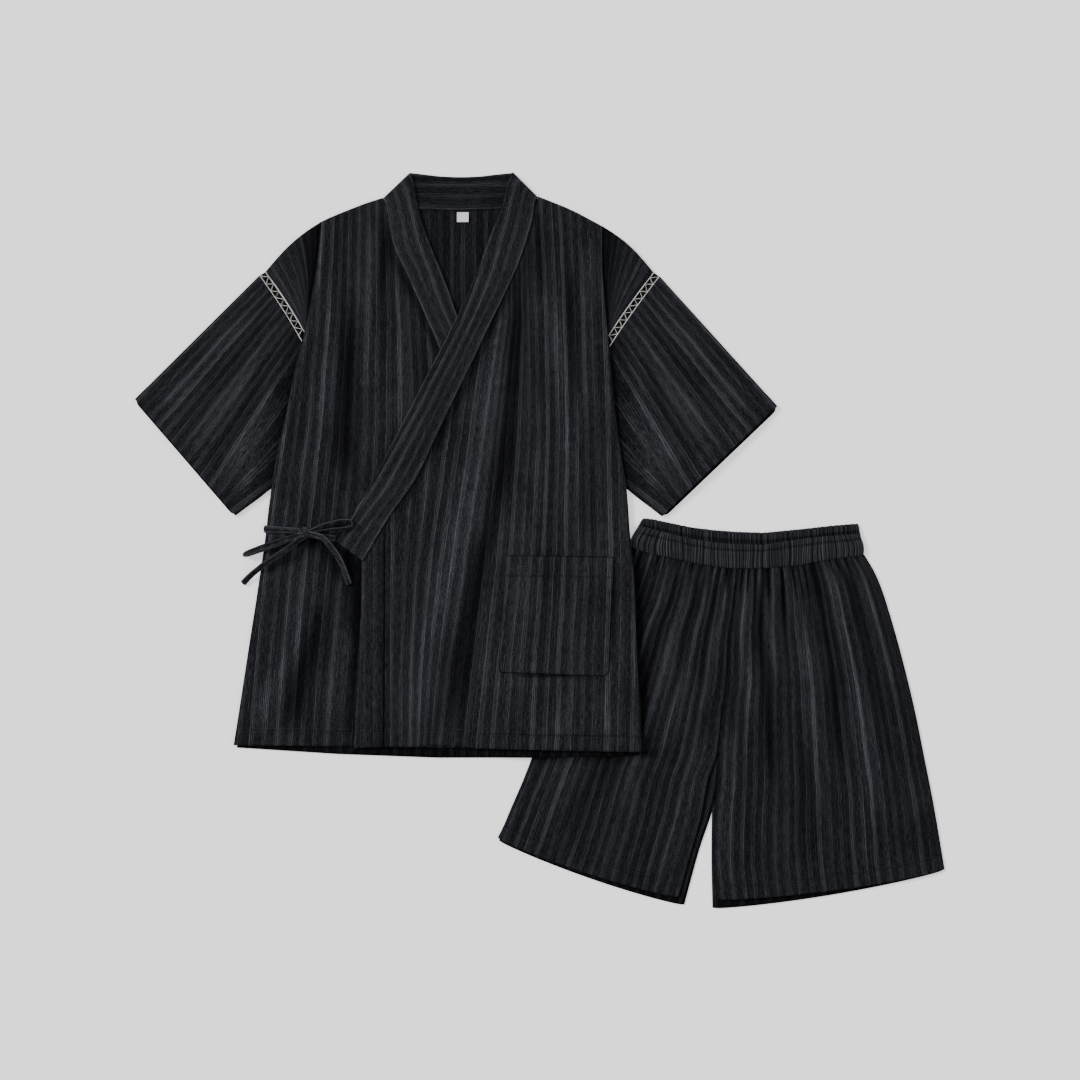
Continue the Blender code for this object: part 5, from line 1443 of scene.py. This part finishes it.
def make_leg(name, node, rows, folds, side, seed):
    x, y, across, down, width = leg_points(rows, 170, LEG_COLUMNS, side, 0.0)
    folded = np.zeros_like(x)
    for fold in folds:
        centre = between(fold.at_band, fold.at_hem, down) + 0.006 * np.sin(down * 9.0 + fold.at_band * 40.0)
        ends = smooth((down - fold.starts) / 0.10) * smooth((fold.ends + 0.04 - down) / 0.30)
        folded = folded + fold.height * ends * bell(across - centre, fold.width)

    # Gathers under the band: each has its own height and length
    count = gather_phase(x[0]) * BAND_GATHER_PITCH / GATHER_PITCH + 0.30 * np.sin(x[0] * 0.11 + seed)
    own = 0.5 + 0.5 * np.sin(np.floor(count) * 12.9 + seed)
    ends = smooth(1.0 - down / (0.045 + 0.24 * own ** 2))
    rounded = np.abs(np.sin(math.pi * count)) ** 0.55
    gathers = 4.4 * (rounded - 0.35) * ends * (0.5 + 0.5 * own)
    fine = 1.4 * (np.abs(np.sin(math.pi * gather_phase(x[0]))) - 0.5) * smooth(1.0 - down / 0.05)
    waves = 0.45 * cloth_waves(x, y, 0.035, 0.009, seed) + 0.12 * cloth_waves(x, y, 0.15, 0.02, seed + 5.0)
    from_hem = np.hypot(x - x[-1], y - y[-1])
    hem = 0.4 * smooth((LEG_STITCHES[0] - from_hem) / 2.0)
    from_seam = across * width
    from_side = (1.0 - across) * width
    fade = smooth(from_seam / 9.0) * smooth(from_side / 12.0)
    puffed = 1.8 * smooth(down / 0.08) * smooth(from_seam / 30.0) * smooth(from_side / 30.0)
    rounding = 0.9 * np.exp(-from_seam / 2.0) + 1.6 * np.exp(-from_side / 3.0)
    z = np.maximum(LEG_Z + (folded + waves) * fade + gathers + fine + hem + puffed - rounding, LOWEST_LEG)
    z = LOWEST_LEG + (z - LOWEST_LEG) * (0.2 + 0.8 * smooth(down / 0.012))
    grid = surface(x, y, z)

    # Painted light and shade: folds and gathers lighter on their crests and darker between them, painted shade
    # at the hem's fold and along the crotch seam, painted shadow beside and under the jacket and under the band,
    # a painted highlight near the outer side; the legs are also darker overall
    painted_shading = folded / 4.2 * fade + 2.3 * (rounded - 0.76) * ends * (0.6 + 0.4 * own) + fine * 0.2 + 0.1 * waves
    painted_shading = painted_shading - 0.35 * bell(from_hem - LEG_STITCHES[0] - 1.2, 1.2) - 0.7 * np.exp(-from_seam / 2.2)
    beside, under_hem = (crease_heights(x, y, [shade]) for shade in LEG_SHADES)
    painted_shading = painted_shading - 0.14 + (beside * smooth((y + 300.0) / 14.0) + under_hem) / FOLD_SHADE
    painted_shading = painted_shading - 0.55 * np.exp(-down / 0.012) + 0.25 * bell(from_side - 2.5, 2.5)

    turns = []
    for outward, fall in LEG_TURNS:
        turned = grid[:, -1].copy()
        turned[:, 0] += side * outward
        turned[:, 2] -= fall * (turned[:, 2] - 1.2) * 0.9
        turns.append(turned)
    whole = np.concatenate([grid, np.stack(turns, axis=1)], axis=1)
    first, last = rows[0], rows[-1]
    hem_width = math.hypot(last.out_x - last.in_x, last.out_y - last.in_y)
    length = math.hypot(last.in_x - first.in_x, last.in_y - first.in_y)
    cloth_x = np.concatenate([across * hem_width, hem_width + np.arange(1, 4) * 0.6])
    # The turned edge is painted darker
    painted_shading = np.hstack([painted_shading, np.full((len(x), len(turns)), -0.2)])
    material = cotton(name + "_cotton", 0.006 * (1 + side))
    piece = lay_cloth(name, whole, surface(cloth_x, length * down), material, painted_shading)
    seams = sew(name + "_stitches", [line_inside(grid, d)[1:-1] for d in LEG_STITCHES])
    declare_cloth(piece, node)


LEG_BACK_CLOTH = (262.0, 460.0)


def make_leg_back(name, node, rows, side, seed):
    x, y, across, down, _ = leg_points(rows, 90, 50, side, 0.6)
    z = BACK_Z + 0.036 * (cloth_waves(x, y, 0.03, 0.01, seed) + 1.0)
    from_hem = np.hypot(x - x[-1], y - y[-1])
    # Painted shade: the back panels are darker, most towards the hem
    painted_shading = -0.45 - 0.45 * smooth((30.0 - from_hem) / 20.0)
    piece = lay_cloth(name, surface(x, y, z), surface(across * LEG_BACK_CLOTH[0], down * LEG_BACK_CLOTH[1]),
                      cotton(name + "_cotton", 0.002 * side), painted_shading)
    declare_cloth(piece, node)


make_leg_back("leg_right_back_panel", "leg_right_back", LEG_BACK_RIGHT_ROWS, -1, 41.0)
make_leg_back("leg_left_back_panel", "leg_left_back", LEG_BACK_LEFT_ROWS, 1, 43.0)
make_leg("leg_right_front_panel", "leg_right_front", LEG_RIGHT_ROWS, LEG_RIGHT_FOLDS, -1, 31.0)
make_leg("leg_left_front_panel", "leg_left_front", LEG_LEFT_ROWS, LEG_LEFT_FOLDS, 1, 37.0)

# Waistband: a casing round the waist drawn up by elastic into dense uneven gathers, with a small frill above
# the upper stitch line. It lies pressed flat, the back edge standing above the front edge.
BAND_BACK_Z = 0.7
BAND_FRONT_Z = 3.4
FRILL = 8.2
FRILL_SHARE = 0.26     # how far down the band its upper stitch line lies
BAND_STRETCH = 5.2     # length of its stripes' cloth drawn up into each length of the band
HALF_BAND = 530.0      # where the back half starts on that cloth
TURNED = 10.0
BAND_DEPTH = 35.0
BAND_SPREAD = (-13.0, 8.5)
BACK_BAND_INSET = 6.0
BAND_SHARES = (0.0, 0.06, 0.12, 0.18, 0.235, 0.26, 0.285, 0.34, 0.42, 0.52, 0.62, 0.72, 0.82, 0.90, 0.95, 1.0)


def make_waistband():
    places = np.linspace(0.0, 1.0, len(BAND_ROWS))
    shares = np.array(BAND_SHARES)[:, None]
    frill = bell(shares - FRILL_SHARE, 0.035)
    foot = bell(shares - 0.985, 0.03)

    # Front half, from the wearer's right to the left
    t = np.linspace(0.0, 1.0, 620)
    x, bottom, top, _ = (np.interp(t, places, column) for column in np.array(BAND_ROWS).T)
    gather = np.abs(np.sin(math.pi * gather_phase(x))) ** 0.6 - 0.55
    uneven = 1.0 + 0.5 * np.sin(x * 0.21) * np.sin(x * 0.057 + 2.0)
    casing = np.sin(math.pi * np.clip((shares - FRILL_SHARE) / (1.0 - FRILL_SHARE), 0.0, 1.0)) ** 0.6
    rise = 1.1 * casing - 0.9 * frill - 0.6 * foot + 0.5 * smooth((0.2 - shares) / 0.2)
    size = 2.3 * (1.0 - 0.65 * frill - 0.45 * foot)
    band_top = top + 0.9 * (gather + 0.1)
    front_y = between(band_top, bottom - 1.0, shares)
    spread = np.interp(x, (x[0], x[0] + 50.0, x[-1] - 40.0, x[-1]), (BAND_SPREAD[0], 0.0, 0.0, BAND_SPREAD[1]))
    front_x = x + 0.6 * np.sin(shares * 4.0 + x * 0.09) + spread * np.sin(shares * 2.0)
    front = surface(front_x, front_y, np.maximum(BAND_FRONT_Z + rise + size * uneven * gather, 2.0))
    # Painted light and shade: the gathers lighter on their crests and darker between them, the frill and the
    # foot painted darker
    front_painted_shading = gather * 2.4 * uneven * (1.0 - 0.3 * frill) - 0.12 - 0.8 * frill - 0.8 * foot

    # Back half, from the left to the right
    back_t = np.linspace(1.0, 0.0, 300)
    bx, b_bottom, _, b_top = (np.interp(back_t, places, column) for column in np.array(BAND_ROWS).T)
    bx = bx + BACK_BAND_INSET * np.interp(back_t, (0.0, 0.15), (1.0, 0.0))
    back_gather = np.abs(np.sin(math.pi * gather_phase(bx + 2.0))) ** 0.75 - 0.5
    back_y = between(b_top + 0.9 * back_gather, b_bottom + 1.0, shares)
    back = surface(bx, back_y, BAND_BACK_Z + 1.5 * np.maximum(back_gather + 0.3, 0.0) * (1.0 - 0.6 * frill))
    # Painted shade on the back half, deeper away from its upper edge, and its gathers painted light and dark
    in_shade = np.clip((shares - 0.1) / 0.25, 0.0, 1.0)
    back_painted_shading = back_gather * 1.8 - 0.25 - 0.6 * in_shade - 0.4 * frill

    left = turned_edge(front[:, -1], back[:, 0], (1.0, 0.0), lean=1.0)
    right = turned_edge(back[:, -1], front[:, 0], (-1.0, 0.0), lean=1.0)
    grid = np.concatenate([front, left, back, right], axis=1)
    turn = np.arange(4) * TURN_STEP_CLOTH
    across = np.concatenate([(x - x[0]) * BAND_STRETCH, HALF_BAND + turn,
                             HALF_BAND + TURNED + (x[-1] - bx) * BAND_STRETCH,
                             2 * HALF_BAND + TURNED + turn, [2 * HALF_BAND + TURNED + 6.0]])
    plain = np.zeros((len(shares), len(turn)))
    painted_shading = np.hstack([front_painted_shading, plain, back_painted_shading, plain])
    band = lay_cloth("gathered_band", grid, surface(across, shares * BAND_DEPTH), cotton("band_cotton"), painted_shading,
                     ring=True, wall=0.9)
    seams = sew("band_stitches", [line_inside(front[::-1], FRILL)[2:-2], line_inside(front, 1.6)[2:-2],
                                  line_inside(back[::-1], FRILL)[2:-2]], pitch=2.6, length=1.8, width=0.6)
    declare_cloth(band, "waistband")


make_waistband()

bpy.context.view_layer.update()
